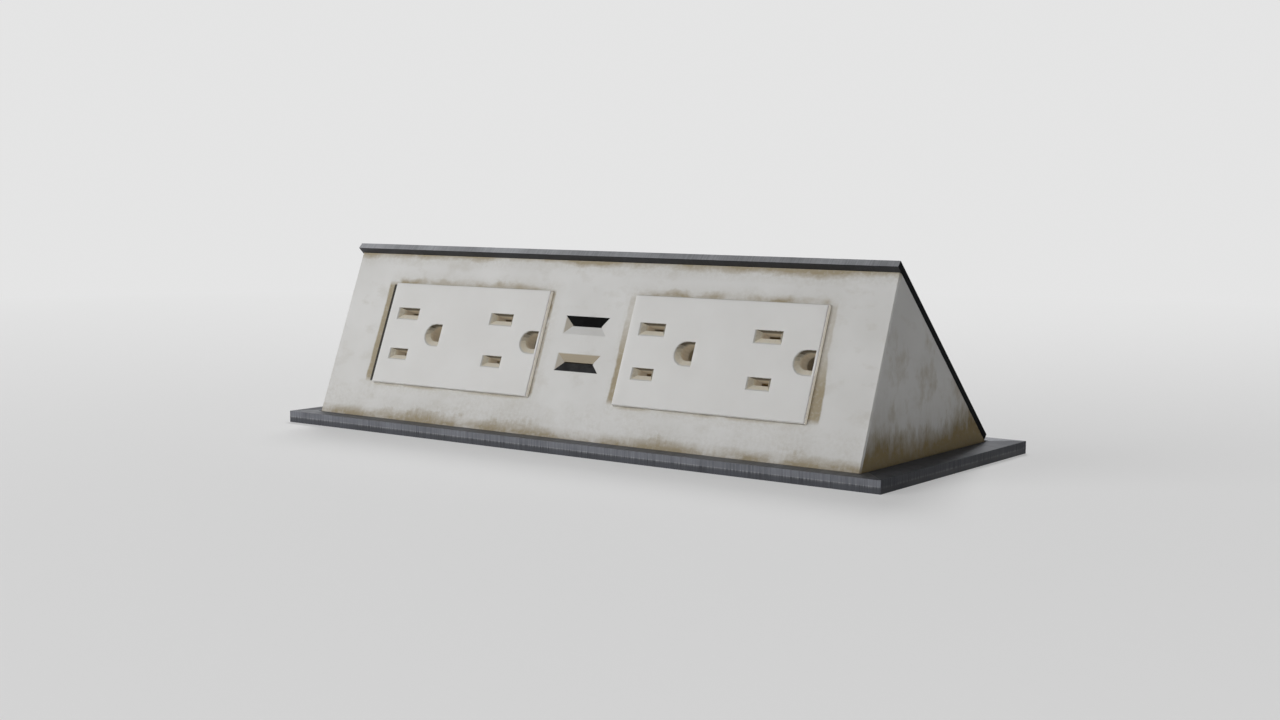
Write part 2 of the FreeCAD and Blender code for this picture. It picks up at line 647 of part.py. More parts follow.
def build_outlet_body(side, across):
    half_x = BODY_LENGTH / 2
    half_v = BODY_HEIGHT / 2
    body = block(across - half_x, across + half_x, FACE_UP - half_v, FACE_UP + half_v, BODY_BACK, RIM_BACK)
    corner_edges = [e for e in body.Edges if e.BoundBox.ZLength > BODY_DEPTH / 2]
    body = body.makeChamfer(BODY_CHAMFER, corner_edges)
    cuts = []
    for sign in (-1, 1):
        row = row_of(sign)
        cuts.append(block(
            across + OUTLETS[0] - CHANNEL_START, across + OUTLETS[1] + CHANNEL_END,
            row - CHANNEL_HALF, row + CHANNEL_HALF, RIM_BACK - CHANNEL_DEPTH, RIM_BACK,
        ))
    for outlet in OUTLETS:
        x = earth_centre(across + outlet)
        v = FACE_UP + EARTH_UP
        cuts.append(small_rod(TUBE_OUTER + TUBE_CLEAR, (x, v, BODY_BACK), (x, v, RIM_BACK), ROUND_SIDES))
    for x, sign in terminal_places(across):
        cuts.append(terminal_shank(x, sign, FACE_UP + sign * half_v))
    x, v = strap_screw_place(across)
    cuts.append(small_rod(SHANK_RADIUS, (x, v, BODY_BACK), (x, v, BODY_BACK + SHANK_LENGTH)))
    save("receptacle_body_" + side, [on_panel(cut_all(body, cuts))])


# Brass: one long strip a row, folded round under each slot into a second leaf.
def build_power_strips(side, across):
    strips = []
    for sign in (-1, 1):
        row = row_of(sign)
        wall = row + sign * CHANNEL_HALF
        x0 = across + OUTLETS[0] - CHANNEL_START + STRIP_CLEAR
        x1 = across + OUTLETS[1] + CHANNEL_END - STRIP_CLEAR
        low = RIM_BACK - STRIP_DEPTH
        top = RIM_BACK - STRIP_CLEAR
        spans = sorted((wall, wall - sign * STRIP_THICK))
        strip = block(x0, x1, spans[0], spans[1], low, top)
        for outlet in OUTLETS:
            g0 = across + outlet - GRIP_LENGTH / 2
            g1 = across + outlet + GRIP_LENGTH / 2
            inner = row - sign * (LEAF_GAP / 2 + STRIP_THICK)
            web = sorted((wall, inner))
            leaf = sorted((inner, inner + sign * STRIP_THICK))
            strip = strip.fuse(block(g0, g1, web[0], web[1], low, low + STRIP_THICK))
            strip = strip.fuse(block(g0, g1, leaf[0], leaf[1], low, top))
        strips.append(on_panel(strip))
    save("power_strips_" + side, strips)


def strap_screw_place(across):
    return (earth_centre(across + OUTLETS[0]) + earth_centre(across + OUTLETS[1])) / 2, FACE_UP + EARTH_UP


# Steel strap across the back of each body, with a drawn tube for each earth pin.
def build_earth_strap(side, across):
    v = FACE_UP + EARTH_UP
    x0 = earth_centre(across + OUTLETS[0]) - STRAP_END
    x1 = earth_centre(across + OUTLETS[1]) + STRAP_END
    strap = block(x0, x1, v - STRAP_HALF, v + STRAP_HALF, BODY_BACK - STRAP_THICK, BODY_BACK)
    for outlet in OUTLETS:
        x = earth_centre(across + outlet)
        front = RIM_BACK - TUBE_FRONT_GAP
        strap = strap.fuse(small_rod(TUBE_OUTER, (x, v, BODY_BACK), (x, v, front), ROUND_SIDES))
        strap = strap.cut(small_rod(TUBE_INNER, (x, v, BODY_BACK - STRAP_THICK), (x, v, front), ROUND_SIDES))
    x = strap_screw_place(across)[0]
    hole = small_rod(SHANK_RADIUS, (x, v, BODY_BACK - STRAP_THICK), (x, v, BODY_BACK))
    save("earth_strap_" + side, [on_panel(strap.cut(hole))])


# All the screws of the outlets.
def build_outlet_screws():
    clamps = []
    terminals = []
    for across in FACE_ACROSS.values():
        for x, v in clamp_places(across):
            clamps.append(common_screw((x, v, RIM_BACK), FACE_RIM_THICK + PANEL_THICK / 2))
        x, v = strap_screw_place(across)
        clamps.append(common_screw((x, v, BODY_BACK - STRAP_THICK), STRAP_THICK + SHANK_LENGTH))
        for x, sign in terminal_places(across):
            side_v = FACE_UP + sign * BODY_HEIGHT / 2
            level = RIM_BACK - STRIP_DEPTH / 2
            head = small_rod(HEAD_RADIUS, (x, side_v + sign * HEAD_HEIGHT, level), (x, side_v, level))
            terminals.append(head.fuse(terminal_shank(x, sign, side_v)))
    save("outlet_screws", [on_panel(s) for s in clamps])
    save("terminal_screws", [on_panel(s) for s in terminals])


# Charging ports: a hipped mouth pressed in the panel, half of it filled by a dark tongue.
def about_port(half):
    """Left and right end of a length centred on the charging ports."""
    return PORT_ACROSS - half, PORT_ACROSS + half


def tongue_outline(centre, sign, w):
    mouth_left, mouth_right = about_port(PORT_MOUTH[0] / 2)
    ridge_left, ridge_right = about_port(PORT_RIDGE[0] / 2)
    edge = centre + sign * PORT_MOUTH[1] / 2
    ridge = centre + sign * PORT_RIDGE[1] / 2
    corners = [(mouth_left, edge), (mouth_right, edge), (ridge_right, ridge), (ridge_left, ridge)]
    return outline_xy(corners if sign < 0 else list(reversed(corners)), w)


def tongue_front(centre, sign):
    return between(tongue_outline(centre, sign, PANEL_BACK), tongue_outline(centre, sign, 0))


def port_hip(centre):
    half_v = PORT_MOUTH[1] / 2
    ridge_v = PORT_RIDGE[1] / 2
    ridge_ends = about_port(PORT_RIDGE[0] / 2)
    mouth_ends = about_port(PORT_MOUTH[0] / 2)
    return between(
        rectangle(*ridge_ends, centre - ridge_v, centre + ridge_v, -PORT_RIDGE_DEPTH),
        rectangle(*mouth_ends, centre - half_v, centre + half_v, 0),
    )


def port_window(centre, sign):
    ridge_v = PORT_RIDGE[1] / 2
    ridge_ends = about_port(PORT_RIDGE[0] / 2)
    slit = block(*ridge_ends, centre - ridge_v, centre + ridge_v, PANEL_BACK, -PORT_RIDGE_DEPTH)
    return port_hip(centre).fuse([tongue_front(centre, sign), slit])


def build_port(name, centre, sign):
    front = tongue_front(centre, sign).cut(port_hip(centre))
    near = centre + sign * TONGUE_CLEAR
    low, high = sorted((near, near + sign * TONGUE_THICK))
    root = block(*about_port(TONGUE_HALF), low, high, BOARD_FRONT, PANEL_BACK)
    save("usb_tongue_" + name, [on_panel(front.fuse(root))])

    half_x = PORT_CAN[0] / 2
    half_v = PORT_CAN[1] / 2
    inner_x = half_x - PORT_CAN_WALL
    inner_v = half_v - PORT_CAN_WALL
    can = block(*about_port(half_x), centre - half_v, centre + half_v, BOARD_FRONT, PANEL_BACK)
    hollow = block(*about_port(inner_x), centre - inner_v, centre + inner_v, BOARD_FRONT, PANEL_BACK)
    save("usb_port_" + name, [on_panel(can.cut(hollow))])


def build_board():
    low, high = BOARD_POSTS
    board = block(
        *about_port(BOARD_HALF), low - BOARD_OVERHANG, high + BOARD_OVERHANG, BOARD_BACK, BOARD_FRONT
    )
    holes = [
        small_rod(SHANK_RADIUS, (PORT_ACROSS, v, BOARD_BACK), (PORT_ACROSS, v, BOARD_FRONT))
        for v in BOARD_POSTS
    ]
    save("usb_board", [on_panel(cut_all(board, holes))])
    charger = block(
        *about_port(CHARGER_HALF), low + CHARGER_CLEAR, high - CHARGER_CLEAR,
        BOARD_BACK - CHARGER_DEPTH, BOARD_BACK,
    )
    back_edges = [e for e in charger.Edges if e.BoundBox.ZMax < BOARD_BACK - CHARGER_CHAMFER]
    save("charger_block", [on_panel(charger.makeChamfer(CHARGER_CHAMFER, back_edges))])
    screws = [common_screw((PORT_ACROSS, v, BOARD_BACK), BOARD_THICK + SHANK_LENGTH) for v in BOARD_POSTS]
    save("board_screws", [on_panel(s) for s in screws])


# Ivory shell: front panel and end walls in one moulding, with bosses, posts and lid flanges.
def cover_block_places():
    return [(side, y) for side in (-1, 1) for y in BLOCK_PLACES]


def heel_point(along, over):
    """Point in Y and Z at a distance up the lid from the heel and over its underside."""
    return (HEEL_Y - along * LID_RUN + over * LID_RISE, FRAME_TOP + along * LID_RISE + over * LID_RUN)


def heel_cut_down_to(along, z):
    """Foot of a line that runs square to the lid, from a point up the lid down to a level."""
    start_y, start_z = heel_point(along, 0)
    return (start_y - (start_z - z) * LID_RISE / LID_RUN, z)


def shell_wedge():
    """Bent front panel with its end walls. The wedge is open below and on the side of the lid."""
    tail = -TAIL_DEPTH
    outer_line = [
        (PANEL_FOOT, tail), (PANEL_FOOT, FRAME_TOP), (CREST_Y, CREST_Z),
        (HEEL_Y, FRAME_TOP), heel_cut_down_to(0, tail),
    ]
    outer = profile_along_x(outer_line, -HALF_WEDGE, HALF_WEDGE)
    front_edges = [
        e for e in outer.Edges
        if e.BoundBox.YMax < CREST_Y + EDGE_CHAMFER
        and e.BoundBox.XLength < EDGE_CHAMFER
        and e.BoundBox.ZMax > CREST_Z / 2
    ]
    outer = outer.makeChamfer(EDGE_CHAMFER, front_edges)
    kink = PANEL_THICK * math.tan(math.radians((90 - PANEL_SLOPE) / 2))
    inner_foot = PANEL_FOOT + PANEL_THICK
    above = CREST_Z + WEDGE_SPAN
    behind = HEEL_Y + WEDGE_SPAN
    slope_y = inner_foot + (above - FRAME_TOP + kink) * PANEL_RUN / PANEL_RISE
    inner_line = [
        (inner_foot, tail), (inner_foot, FRAME_TOP - kink), (slope_y, above),
        (behind, above), (behind, tail),
    ]
    return outer.cut(profile_along_x(inner_line, END_THICK - HALF_WEDGE, HALF_WEDGE - END_THICK))


def shell_supports():
    """Blocks for the cover, flanges for the lid, bosses for the outlets and posts for the board."""
    adds = []
    cover_top = -COVER_RISE
    inside = HALF_WEDGE - END_THICK
    for side, y in cover_block_places():
        xs = sorted((side * inside, side * (inside - BLOCK)))
        adds.append(block(*xs, y - BLOCK / 2, y + BLOCK / 2, cover_top, cover_top + BLOCK))
    flange_to = LID_UNDER_LENGTH - LID_FLANGE_SHORT
    for side in (-1, 1):
        xs = sorted((side * inside, side * (inside - LID_FLANGE_WIDE)))
        adds.append(on_lid(lid_block(*xs, LID_FLANGE_FROM, flange_to, -LID_FLANGE_THICK, 0)))
    for across in FACE_ACROSS.values():
        for x, v in clamp_places(across):
            adds.append(on_panel(small_rod(BOSS_RADIUS, (x, v, PANEL_BACK), (x, v, RIM_BACK))))
    for v in BOARD_POSTS:
        post = small_rod(POST_RADIUS, (PORT_ACROSS, v, PANEL_BACK), (PORT_ACROSS, v, BOARD_FRONT))
        adds.append(on_panel(post))
    return adds


def shell_openings():
    """Windows for the outlet faces and charging ports, and the holes of all screws and studs."""
    cuts = []
    cover_top = -COVER_RISE
    inside = HALF_WEDGE - END_THICK
    half_x = FACE_LENGTH / 2 + FACE_GAP
    half_v = FACE_HEIGHT / 2 + FACE_GAP
    for across in FACE_ACROSS.values():
        window = block(across - half_x, across + half_x, FACE_UP - half_v, FACE_UP + half_v, PANEL_BACK, 0)
        cuts.append(on_panel(window))
        for x, v in clamp_places(across):
            end = PANEL_BACK + PANEL_THICK / 2
            cuts.append(on_panel(small_rod(SHANK_RADIUS, (x, v, RIM_BACK), (x, v, end))))
    cuts.append(on_panel(port_window(PORT_UPPER, 1)))
    cuts.append(on_panel(port_window(PORT_LOWER, -1)))
    for v in BOARD_POSTS:
        deep = BOARD_FRONT + SHANK_LENGTH
        cuts.append(on_panel(small_rod(SHANK_RADIUS, (PORT_ACROSS, v, BOARD_FRONT), (PORT_ACROSS, v, deep))))
    for x, along in stud_places():
        hole = small_rod(STUD_RADIUS + STUD_HOLE_CLEAR, (x, -along, -LID_FLANGE_THICK), (x, -along, 0))
        cuts.append(on_lid(hole))
    for side, y in cover_block_places():
        x = side * (inside - BLOCK / 2)
        cuts.append(small_rod(SHANK_RADIUS, (x, y, cover_top), (x, y, cover_top + SHANK_LENGTH)))
    return cuts + stop_pins()


def build_shell():
    shell = shell_wedge().multiFuse(shell_supports())
    save("module_shell", [cut_all(shell, shell_openings())])


def stop_pins():
    inside = HALF_WEDGE - END_THICK
    outside = HALF_WEDGE + STOP_REACH
    return [
        small_rod(STOP_RADIUS, (side * inside, y, -STOP_DROP), (side * outside, y, -STOP_DROP))
        for side in (-1, 1) for y in STOP_PLACES
    ]


# Folded steel cover under the wiring space, screwed to the corner blocks.
def build_cover():
    top = -COVER_RISE
    low = top - COVER_THICK
    front = PANEL_FOOT + PANEL_THICK + COVER_SIDE_GAP
    outer_low = heel_cut_down_to(COVER_END, low)
    outer_top = heel_point(COVER_END, -COVER_TOP_GAP)
    inner_top = heel_point(COVER_END + COVER_THICK, -COVER_TOP_GAP)
    inner_low = heel_cut_down_to(COVER_END + COVER_THICK, top)
    half = HALF_WEDGE - END_THICK - COVER_SIDE_GAP
    fold = [(front, low), outer_low, outer_top, inner_top, inner_low, (front, top)]
    cover = profile_along_x(fold, -half, half)
    holes = []
    screws = []
    for side, y in cover_block_places():
        x = side * (HALF_WEDGE - END_THICK - BLOCK / 2)
        holes.append(small_rod(SHANK_RADIUS, (x, y, low), (x, y, top)))
        screws.append(common_screw((x, y, low), COVER_THICK + SHANK_LENGTH))
    save("wiring_cover", [cut_all(cover, holes)])
    save("cover_screws", screws)


build_rim()
build_clips()
build_bush()
build_hinge()
build_lid()
build_shell()
save("stop_pins", stop_pins())
for face_side, face_across in FACE_ACROSS.items():
    build_outlet(face_side, face_across)
build_outlet_screws()
build_port("upper", PORT_UPPER, 1)
build_port("lower", PORT_LOWER, -1)
build_board()
build_cover()
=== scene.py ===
import bmesh
import bpy
import math
from mathutils import Matrix, Vector


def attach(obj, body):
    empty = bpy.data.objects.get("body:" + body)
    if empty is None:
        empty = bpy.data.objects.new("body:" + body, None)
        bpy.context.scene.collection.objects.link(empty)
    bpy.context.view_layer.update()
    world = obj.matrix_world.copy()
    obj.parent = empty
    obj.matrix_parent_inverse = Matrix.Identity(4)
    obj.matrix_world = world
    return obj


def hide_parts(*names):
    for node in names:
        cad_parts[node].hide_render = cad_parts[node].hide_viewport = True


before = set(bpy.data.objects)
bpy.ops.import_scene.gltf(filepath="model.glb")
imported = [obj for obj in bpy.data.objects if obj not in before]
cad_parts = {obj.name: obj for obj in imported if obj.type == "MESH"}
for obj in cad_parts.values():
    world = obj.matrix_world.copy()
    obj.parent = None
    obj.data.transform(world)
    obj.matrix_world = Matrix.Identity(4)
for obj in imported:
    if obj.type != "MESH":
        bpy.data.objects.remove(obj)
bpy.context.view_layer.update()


# Flange and well.
# One steel pressing: the flange lies on the desk round the cut-out and the well hangs in it.
# Dark baked paint, thin on the flange's edge, where the brushed steel shows through. Its end rails are
# painted darker, as painted shade.
def new_finish(name, roughness, metallic=0.0, gloss=0.5):
    """Starts a material and returns it with its shader."""
    material = bpy.data.materials.new(name)
    material.use_nodes = True
    shader = material.node_tree.nodes["Principled BSDF"]
    shader.inputs["Roughness"].default_value = roughness
    shader.inputs["Metallic"].default_value = metallic
    shader.inputs["Specular IOR Level"].default_value = gloss
    return material, shader


def add_node(material, kind, inputs=(), **settings):
    """Adds a node; inputs pairs a socket with a value or with another node's output."""
    node = material.node_tree.nodes.new(kind)
    for name, value in settings.items():
        setattr(node, name, value)
    for socket, value in inputs:
        if isinstance(value, bpy.types.NodeSocket):
            material.node_tree.links.new(value, node.inputs[socket])
        else:
            node.inputs[socket].default_value = value
    return node


def wire(material, output, shader, socket):
    material.node_tree.links.new(output, shader.inputs[socket])


def stretched(material, place, stretch, turn=(0, 0, 0)):
    """Scales a position along each axis, so that marks come out longer one way."""
    return add_node(
        material, "ShaderNodeMapping", [("Vector", place), ("Scale", stretch), ("Rotation", turn)]
    ).outputs["Vector"]


def place_of(material, stretch=(1000, 1000, 1000)):
    """Position on the part; a stretch of 1000 gives millimetres, less gives longer marks."""
    return stretched(material, add_node(material, "ShaderNodeTexCoord").outputs["Object"], stretch)


def noise(material, place, scale, detail=4.0, rough=0.5):
    return add_node(
        material, "ShaderNodeTexNoise",
        [("Vector", place), ("Scale", scale), ("Detail", detail), ("Roughness", rough)],
    ).outputs["Fac"]


def reckon(material, operation, *values):
    """Joins two or more numbers by one operation, from left to right."""
    result = values[0]
    for value in values[1:]:
        result = add_node(
            material, "ShaderNodeMath", [(0, result), (1, value)], operation=operation
        ).outputs[0]
    return result


def total(material, *values):
    return reckon(material, "ADD", *values)


def less(material, *values):
    return reckon(material, "SUBTRACT", *values)


def times(material, *values):
    return reckon(material, "MULTIPLY", *values)


def without_sign(material, value):
    return add_node(material, "ShaderNodeMath", [(0, value)], operation="ABSOLUTE").outputs[0]


def fade(material, value, start, end, low=0.0, high=1.0):
    """Low where value is start, high where it is end, evenly between them."""
    return add_node(
        material, "ShaderNodeMapRange",
        [("Value", value), ("From Min", start), ("From Max", end), ("To Min", low), ("To Max", high)],
    ).outputs["Result"]


def colours(material, share, first, second):
    """First colour where share is 0, second where it is 1."""
    node = add_node(material, "ShaderNodeMix", data_type="RGBA")
    for socket, value in ((0, share), (6, first), (7, second)):
        if isinstance(value, bpy.types.NodeSocket):
            material.node_tree.links.new(value, node.inputs[socket])
        elif socket == 0:
            node.inputs[socket].default_value = value
        else:
            node.inputs[socket].default_value = (*value, 1)
    return node.outputs[2]


def parts_of(material, vector):
    return add_node(material, "ShaderNodeSeparateXYZ", [(0, vector)]).outputs


def raise_marks(material, shader, height, depth, strength=1.0):
    bump = add_node(
        material, "ShaderNodeBump", [("Height", height), ("Distance", depth), ("Strength", strength)]
    )
    wire(material, bump.outputs["Normal"], shader, "Normal")


def dress(node, material):
    """Gives a piece of the frame its material."""
    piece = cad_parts[node]
    for place in piece.material_slots:
        place.material = material
    return piece


def ease_edges(piece, width, turn=25, rounds=2):
    """Breaks the sharp edges of a piece by a small rounding."""
    flatten = piece.modifiers.new("flats in one face", "DECIMATE")
    flatten.decimate_type = "DISSOLVE"
    flatten.angle_limit = math.radians(0.5)
    rounding = piece.modifiers.new("eased edges", "BEVEL")
    rounding.width = width
    rounding.segments = rounds
    rounding.limit_method = "ANGLE"
    rounding.angle_limit = math.radians(turn)


RIM_HALF_LENGTH = 105.0
RIM_HALF_DEPTH = 42.1
PAINT_THIN = (0.066, 0.07, 0.083)
PAINT_FULL = (0.028, 0.03, 0.037)
PAINT_RUBBED = (0.13, 0.132, 0.14)


def rim_strokes(material):
    """Fine scratches square to each side of the rim; also says where the end rails are."""
    long_sides = noise(material, place_of(material, (2600, 90, 90)), 1.0, 5.0, 0.6)
    short_sides = noise(material, place_of(material, (90, 2600, 90)), 1.0, 5.0, 0.6)
    x, y, z = parts_of(material, place_of(material))
    from_end = less(material, RIM_HALF_LENGTH, without_sign(material, x))
    from_side = less(material, RIM_HALF_DEPTH, without_sign(material, y))
    at_end = reckon(material, "LESS_THAN", from_end, from_side)
    mixed = add_node(material, "ShaderNodeMix", [(0, at_end), (2, long_sides), (3, short_sides)])
    return mixed.outputs[0], at_end


well_paint, well_shader = new_finish("well_paint", 0.5, 0.35)
well_strokes, well_ends = rim_strokes(well_paint)
well_patches = noise(well_paint, place_of(well_paint), 0.09, 5.0)
well_share = fade(well_paint, total(well_paint, well_strokes, well_patches), 0.78, 1.22)
well_colour = colours(well_paint, well_share, PAINT_FULL, PAINT_THIN)
# Painted shade: the end rails are mixed half way to the full dark paint.
well_colour = colours(well_paint, times(well_paint, well_ends, 0.5), well_colour, PAINT_FULL)
well_height = parts_of(well_paint, place_of(well_paint))[2]
flange_top = fade(well_paint, well_height, 1.15, 1.6)
rubbed = times(well_paint, flange_top, fade(well_paint, well_strokes, 0.42, 0.6))
wire(well_paint, colours(well_paint, rubbed, well_colour, PAINT_RUBBED), well_shader, "Base Color")
wire(well_paint, fade(well_paint, well_patches, 0.3, 0.7, 0.42, 0.6), well_shader, "Roughness")
raise_marks(well_paint, well_shader, well_strokes, 0.00002, 0.7)
ease_edges(dress("well_tub", well_paint), 0.0003, 25)


# Trim of the rim.
# A strip of dark metal with a mitred bevel round its top edge, brushed square to each side. Its end rails
# are painted darker, as painted shade. It lies on the flange and is screwed to it from below.
BRUSHED_DARK = (0.08, 0.084, 0.096)
BRUSHED_LIGHT = (0.19, 0.197, 0.22)
RUBBED_EDGE = (0.24, 0.245, 0.26)
END_RAIL_PAINTED_SHADE = (0.018, 0.02, 0.025)

rim_metal, rim_shader = new_finish("brushed_rim_metal", 0.46, 0.6)
strokes, at_ends = rim_strokes(rim_metal)
smudges = noise(rim_metal, place_of(rim_metal), 0.07, 6.0, 0.6)
worn = fade(rim_metal, total(rim_metal, times(rim_metal, strokes, 1.3), smudges), 0.82, 1.56)
metal_colour = colours(rim_metal, worn, BRUSHED_DARK, BRUSHED_LIGHT)
near_seam = fade(rim_metal, parts_of(rim_metal, place_of(rim_metal))[2], 2.05, 1.75)
seam_line = times(rim_metal, near_seam, fade(rim_metal, strokes, 0.45, 0.6))
metal_colour = colours(rim_metal, seam_line, metal_colour, RUBBED_EDGE)
# Painted shade: the end rails are mixed toward near black, less where the metal is worn light.
end_rail_shade_share = times(rim_metal, at_ends, fade(rim_metal, worn, 0.9, 0.1, 0.35, 0.6))
wire(rim_metal, colours(rim_metal, end_rail_shade_share, metal_colour, END_RAIL_PAINTED_SHADE), rim_shader, "Base Color")
rim_roughness = fade(rim_metal, smudges, 0.3, 0.7, 0.36, 0.56)
rim_roughness = total(rim_metal, rim_roughness, times(rim_metal, at_ends, 0.2))
wire(rim_metal, rim_roughness, rim_shader, "Roughness")
raise_marks(rim_metal, rim_shader, strokes, 0.000025, 0.8)
ease_edges(dress("trim_frame", rim_metal), 0.00012, 3)


# Screws of the rim.
# Flat countersunk heads with a cross recess under the flange, and flat round heads that hold the
# hinge leaf to the rear rail. Plated steel, dulled.
def link(name, mesh, body, material):
    """Puts a made piece in the scene, on the body it moves with."""
    piece = bpy.data.objects.new(name, mesh)
    bpy.context.collection.objects.link(piece)
    mesh.materials.append(material)
    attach(piece, body)
    return piece


def turn_to(axis):
    return Vector(axis).to_track_quat("Z", "X").to_matrix()


def turned(shape, profile, centre, axis, sides=32):
    """Adds a solid turned round an axis; the profile pairs radii with places along the axis, in mm."""
    spin = turn_to(axis)
    rings = []
    for radius, along in profile:
        ring = []
        for step in range(sides):
            angle = math.tau * (step + 0.5) / sides
            spot = Vector((radius * math.cos(angle), radius * math.sin(angle), along))
            ring.append(shape.verts.new((Vector(centre) + spin @ spot) / 1000))
        rings.append(ring)
    for near, far in zip(rings, rings[1:]):
        for step in range(sides):
            after = (step + 1) % sides
            shape.faces.new((near[step], near[after], far[after], far[step]))
    shape.faces.new(rings[0][::-1])
    shape.faces.new(rings[-1])


def prism(shape, outline, centre, axis, low, high, shrink=1.0):
    """Adds a straight or tapering bar; the outline is in mm, square to the axis."""
    spin = turn_to(axis)
    rings = []
    for level, size in ((low, shrink), (high, 1.0)):
        rings.append([
            shape.verts.new((Vector(centre) + spin @ Vector((u * size, v * size, level))) / 1000)
            for u, v in outline
        ])
    count = len(outline)
    for step in range(count):
        after = (step + 1) % count
        shape.faces.new((rings[0][step], rings[0][after], rings[1][after], rings[1][step]))
    shape.faces.new(rings[0][::-1])
    shape.faces.new(rings[1])


def to_mesh(name, shape, smooth_below=30):
    bmesh.ops.recalc_face_normals(shape, faces=shape.faces)
    mesh = bpy.data.meshes.new(name)
    shape.to_mesh(mesh)
    shape.free()
    for face in mesh.polygons:
        face.use_smooth = True
    mesh.set_sharp_from_angle(angle=math.radians(smooth_below))
    return mesh


def carve(name, solid_mesh, cutter_mesh, smooth_below=30):
    """Cuts one mesh out of another and returns what is left."""
    solid = bpy.data.objects.new("solid", solid_mesh)
    cutter = bpy.data.objects.new("cutter", cutter_mesh)
    for item in (solid, cutter):
        bpy.context.collection.objects.link(item)
    cut = solid.modifiers.new("cut", "BOOLEAN")
    cut.object = cutter
    cut.solver = "EXACT"
    bpy.context.view_layer.update()
    seen = solid.evaluated_get(bpy.context.evaluated_depsgraph_get())
    left = bpy.data.meshes.new_from_object(seen)
    left.name = name
    for item in (solid, cutter):
        bpy.data.objects.remove(item)
    for face in left.polygons:
        face.use_smooth = True
    left.set_sharp_from_angle(angle=math.radians(smooth_below))
    return left


PLATE_DULL = (0.36, 0.355, 0.34)
PLATE_BRIGHT = (0.6, 0.6, 0.585)
CROSS = [
    (-0.22, -0.9), (0.22, -0.9), (0.22, -0.22), (0.9, -0.22), (0.9, 0.22), (0.22, 0.22),
    (0.22, 0.9), (-0.22, 0.9), (-0.22, 0.22), (-0.9, 0.22), (-0.9, -0.22), (-0.22, -0.22),
]

plated_steel, plated_shader = new_finish("dull_plated_steel", 0.38, 0.95)
plate_grain = noise(plated_steel, place_of(plated_steel), 1.4, 6.0, 0.6)
plate_tarnish = noise(plated_steel, place_of(plated_steel), 0.25, 3.0)
plate_share = fade(plated_steel, total(plated_steel, plate_grain, plate_tarnish), 0.75, 1.25)
wire(plated_steel, colours(plated_steel, plate_share, PLATE_DULL, PLATE_BRIGHT), plated_shader, "Base Color")
wire(plated_steel, fade(plated_steel, plate_grain, 0.3, 0.7, 0.3, 0.5), plated_shader, "Roughness")
raise_marks(plated_steel, plated_shader, plate_grain, 0.00001, 0.6)

TRIM_SCREW_SPOTS = [(side * 103.0, end * 39.0) for side in (-1, 1) for end in (-1, 1)]
TRIM_SCREW_SPOTS += [(-52.5, 39.3), (52.5, 39.3)]
countersunk = bmesh.new()
recesses = bmesh.new()
for x, y in TRIM_SCREW_SPOTS:
    turned(countersunk, [(1.66, 0), (1.7, 0.08), (0.95, 0.88), (0.92, 3.1)], (x, y, 0), (0, 0, 1))
    prism(recesses, CROSS, (x, y, 0), (0, 0, -1), -0.75, 0.4, 0.4)
trim_screws = link(
    "trim_screw_heads",
    carve("trim_screw_heads", to_mesh("uncut_heads", countersunk), to_mesh("recesses", recesses)),
    "housing", plated_steel,
)
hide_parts("trim_screws")

LEAF_SCREW_X = (-68.0, -68.0 / 3, 68.0 / 3, 68.0)
LEAF_SCREW_Y = 37.12
LEAF_TOP = 4.43
PAN_HEAD = [(0.9, -2.9), (0.9, 0), (1.72, 0), (1.74, 0.12), (1.66, 0.4), (1.35, 0.62), (0.6, 0.7)]
pan_heads = bmesh.new()
recesses = bmesh.new()
for x in LEAF_SCREW_X:
    turned(pan_heads, PAN_HEAD, (x, LEAF_SCREW_Y, LEAF_TOP), (0, 0, 1))
    prism(recesses, CROSS, (x, LEAF_SCREW_Y, LEAF_TOP), (0, 0, 1), 0.1, 1.1, 0.4)
leaf_screws = link(
    "rear_leaf_screw_heads",
    carve("rear_leaf_screw_heads", to_mesh("uncut_heads", pan_heads), to_mesh("recesses", recesses)),
    "housing", plated_steel,
)
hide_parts("frame_leaf_screws")


# Spring clips and their rivets.
# Bowed strips of bare spring steel on the sides of the well, which press out under the desk and
# hold the rim down on it. Each is held by one domed rivet.
SPRING_DARK = (0.24, 0.245, 0.26)
SPRING_LIGHT = (0.36, 0.365, 0.38)
SPRING_BROWN = (0.25, 0.22, 0.2)

spring_steel, spring_shader = new_finish("blued_spring_steel", 0.32, 1.0)
roll_marks = noise(spring_steel, place_of(spring_steel, (1500, 1500, 60)), 1.0, 4.0)
heat_tint = noise(spring_steel, place_of(spring_steel), 0.12, 2.0)
rolled = colours(spring_steel, fade(spring_steel, roll_marks, 0.35, 0.65), SPRING_DARK, SPRING_LIGHT)
tinted = colours(spring_steel, fade(spring_steel, heat_tint, 0.45, 0.7), rolled, SPRING_BROWN)
wire(spring_steel, tinted, spring_shader, "Base Color")
raise_marks(spring_steel, spring_shader, roll_marks, 0.00001, 0.6)
ease_edges(dress("desk_clips", spring_steel), 0.00015)

CLIP_Y = (-18.55, 15.822)
RIVET_Z = -43.006
WELL_HALF = 99.2
SHEET = 1.68
CLIP_THICK = 0.8
DOME = [(2.25, 0.0), (2.2, 0.2), (1.9, 0.46), (1.3, 0.63), (0.5, 0.7)]
rivets = bmesh.new()
for side in (-1, 1):
    for y in CLIP_Y:
        outside = WELL_HALF + SHEET + CLIP_THICK
        turned(rivets, DOME, (side * outside, y, RIVET_Z), (side, 0, 0))
        inner = [(radius, along * 0.55) for radius, along in DOME]
        turned(rivets, inner, (side * WELL_HALF, y, RIVET_Z), (-side, 0, 0))
        turned(rivets, [(1.15, 0), (1.15, SHEET + CLIP_THICK)], (side * WELL_HALF, y, RIVET_Z), (side, 0, 0))
clip_rivets = link("domed_rivets", to_mesh("domed_rivets", rivets), "housing", plated_steel)
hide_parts("clip_rivets")


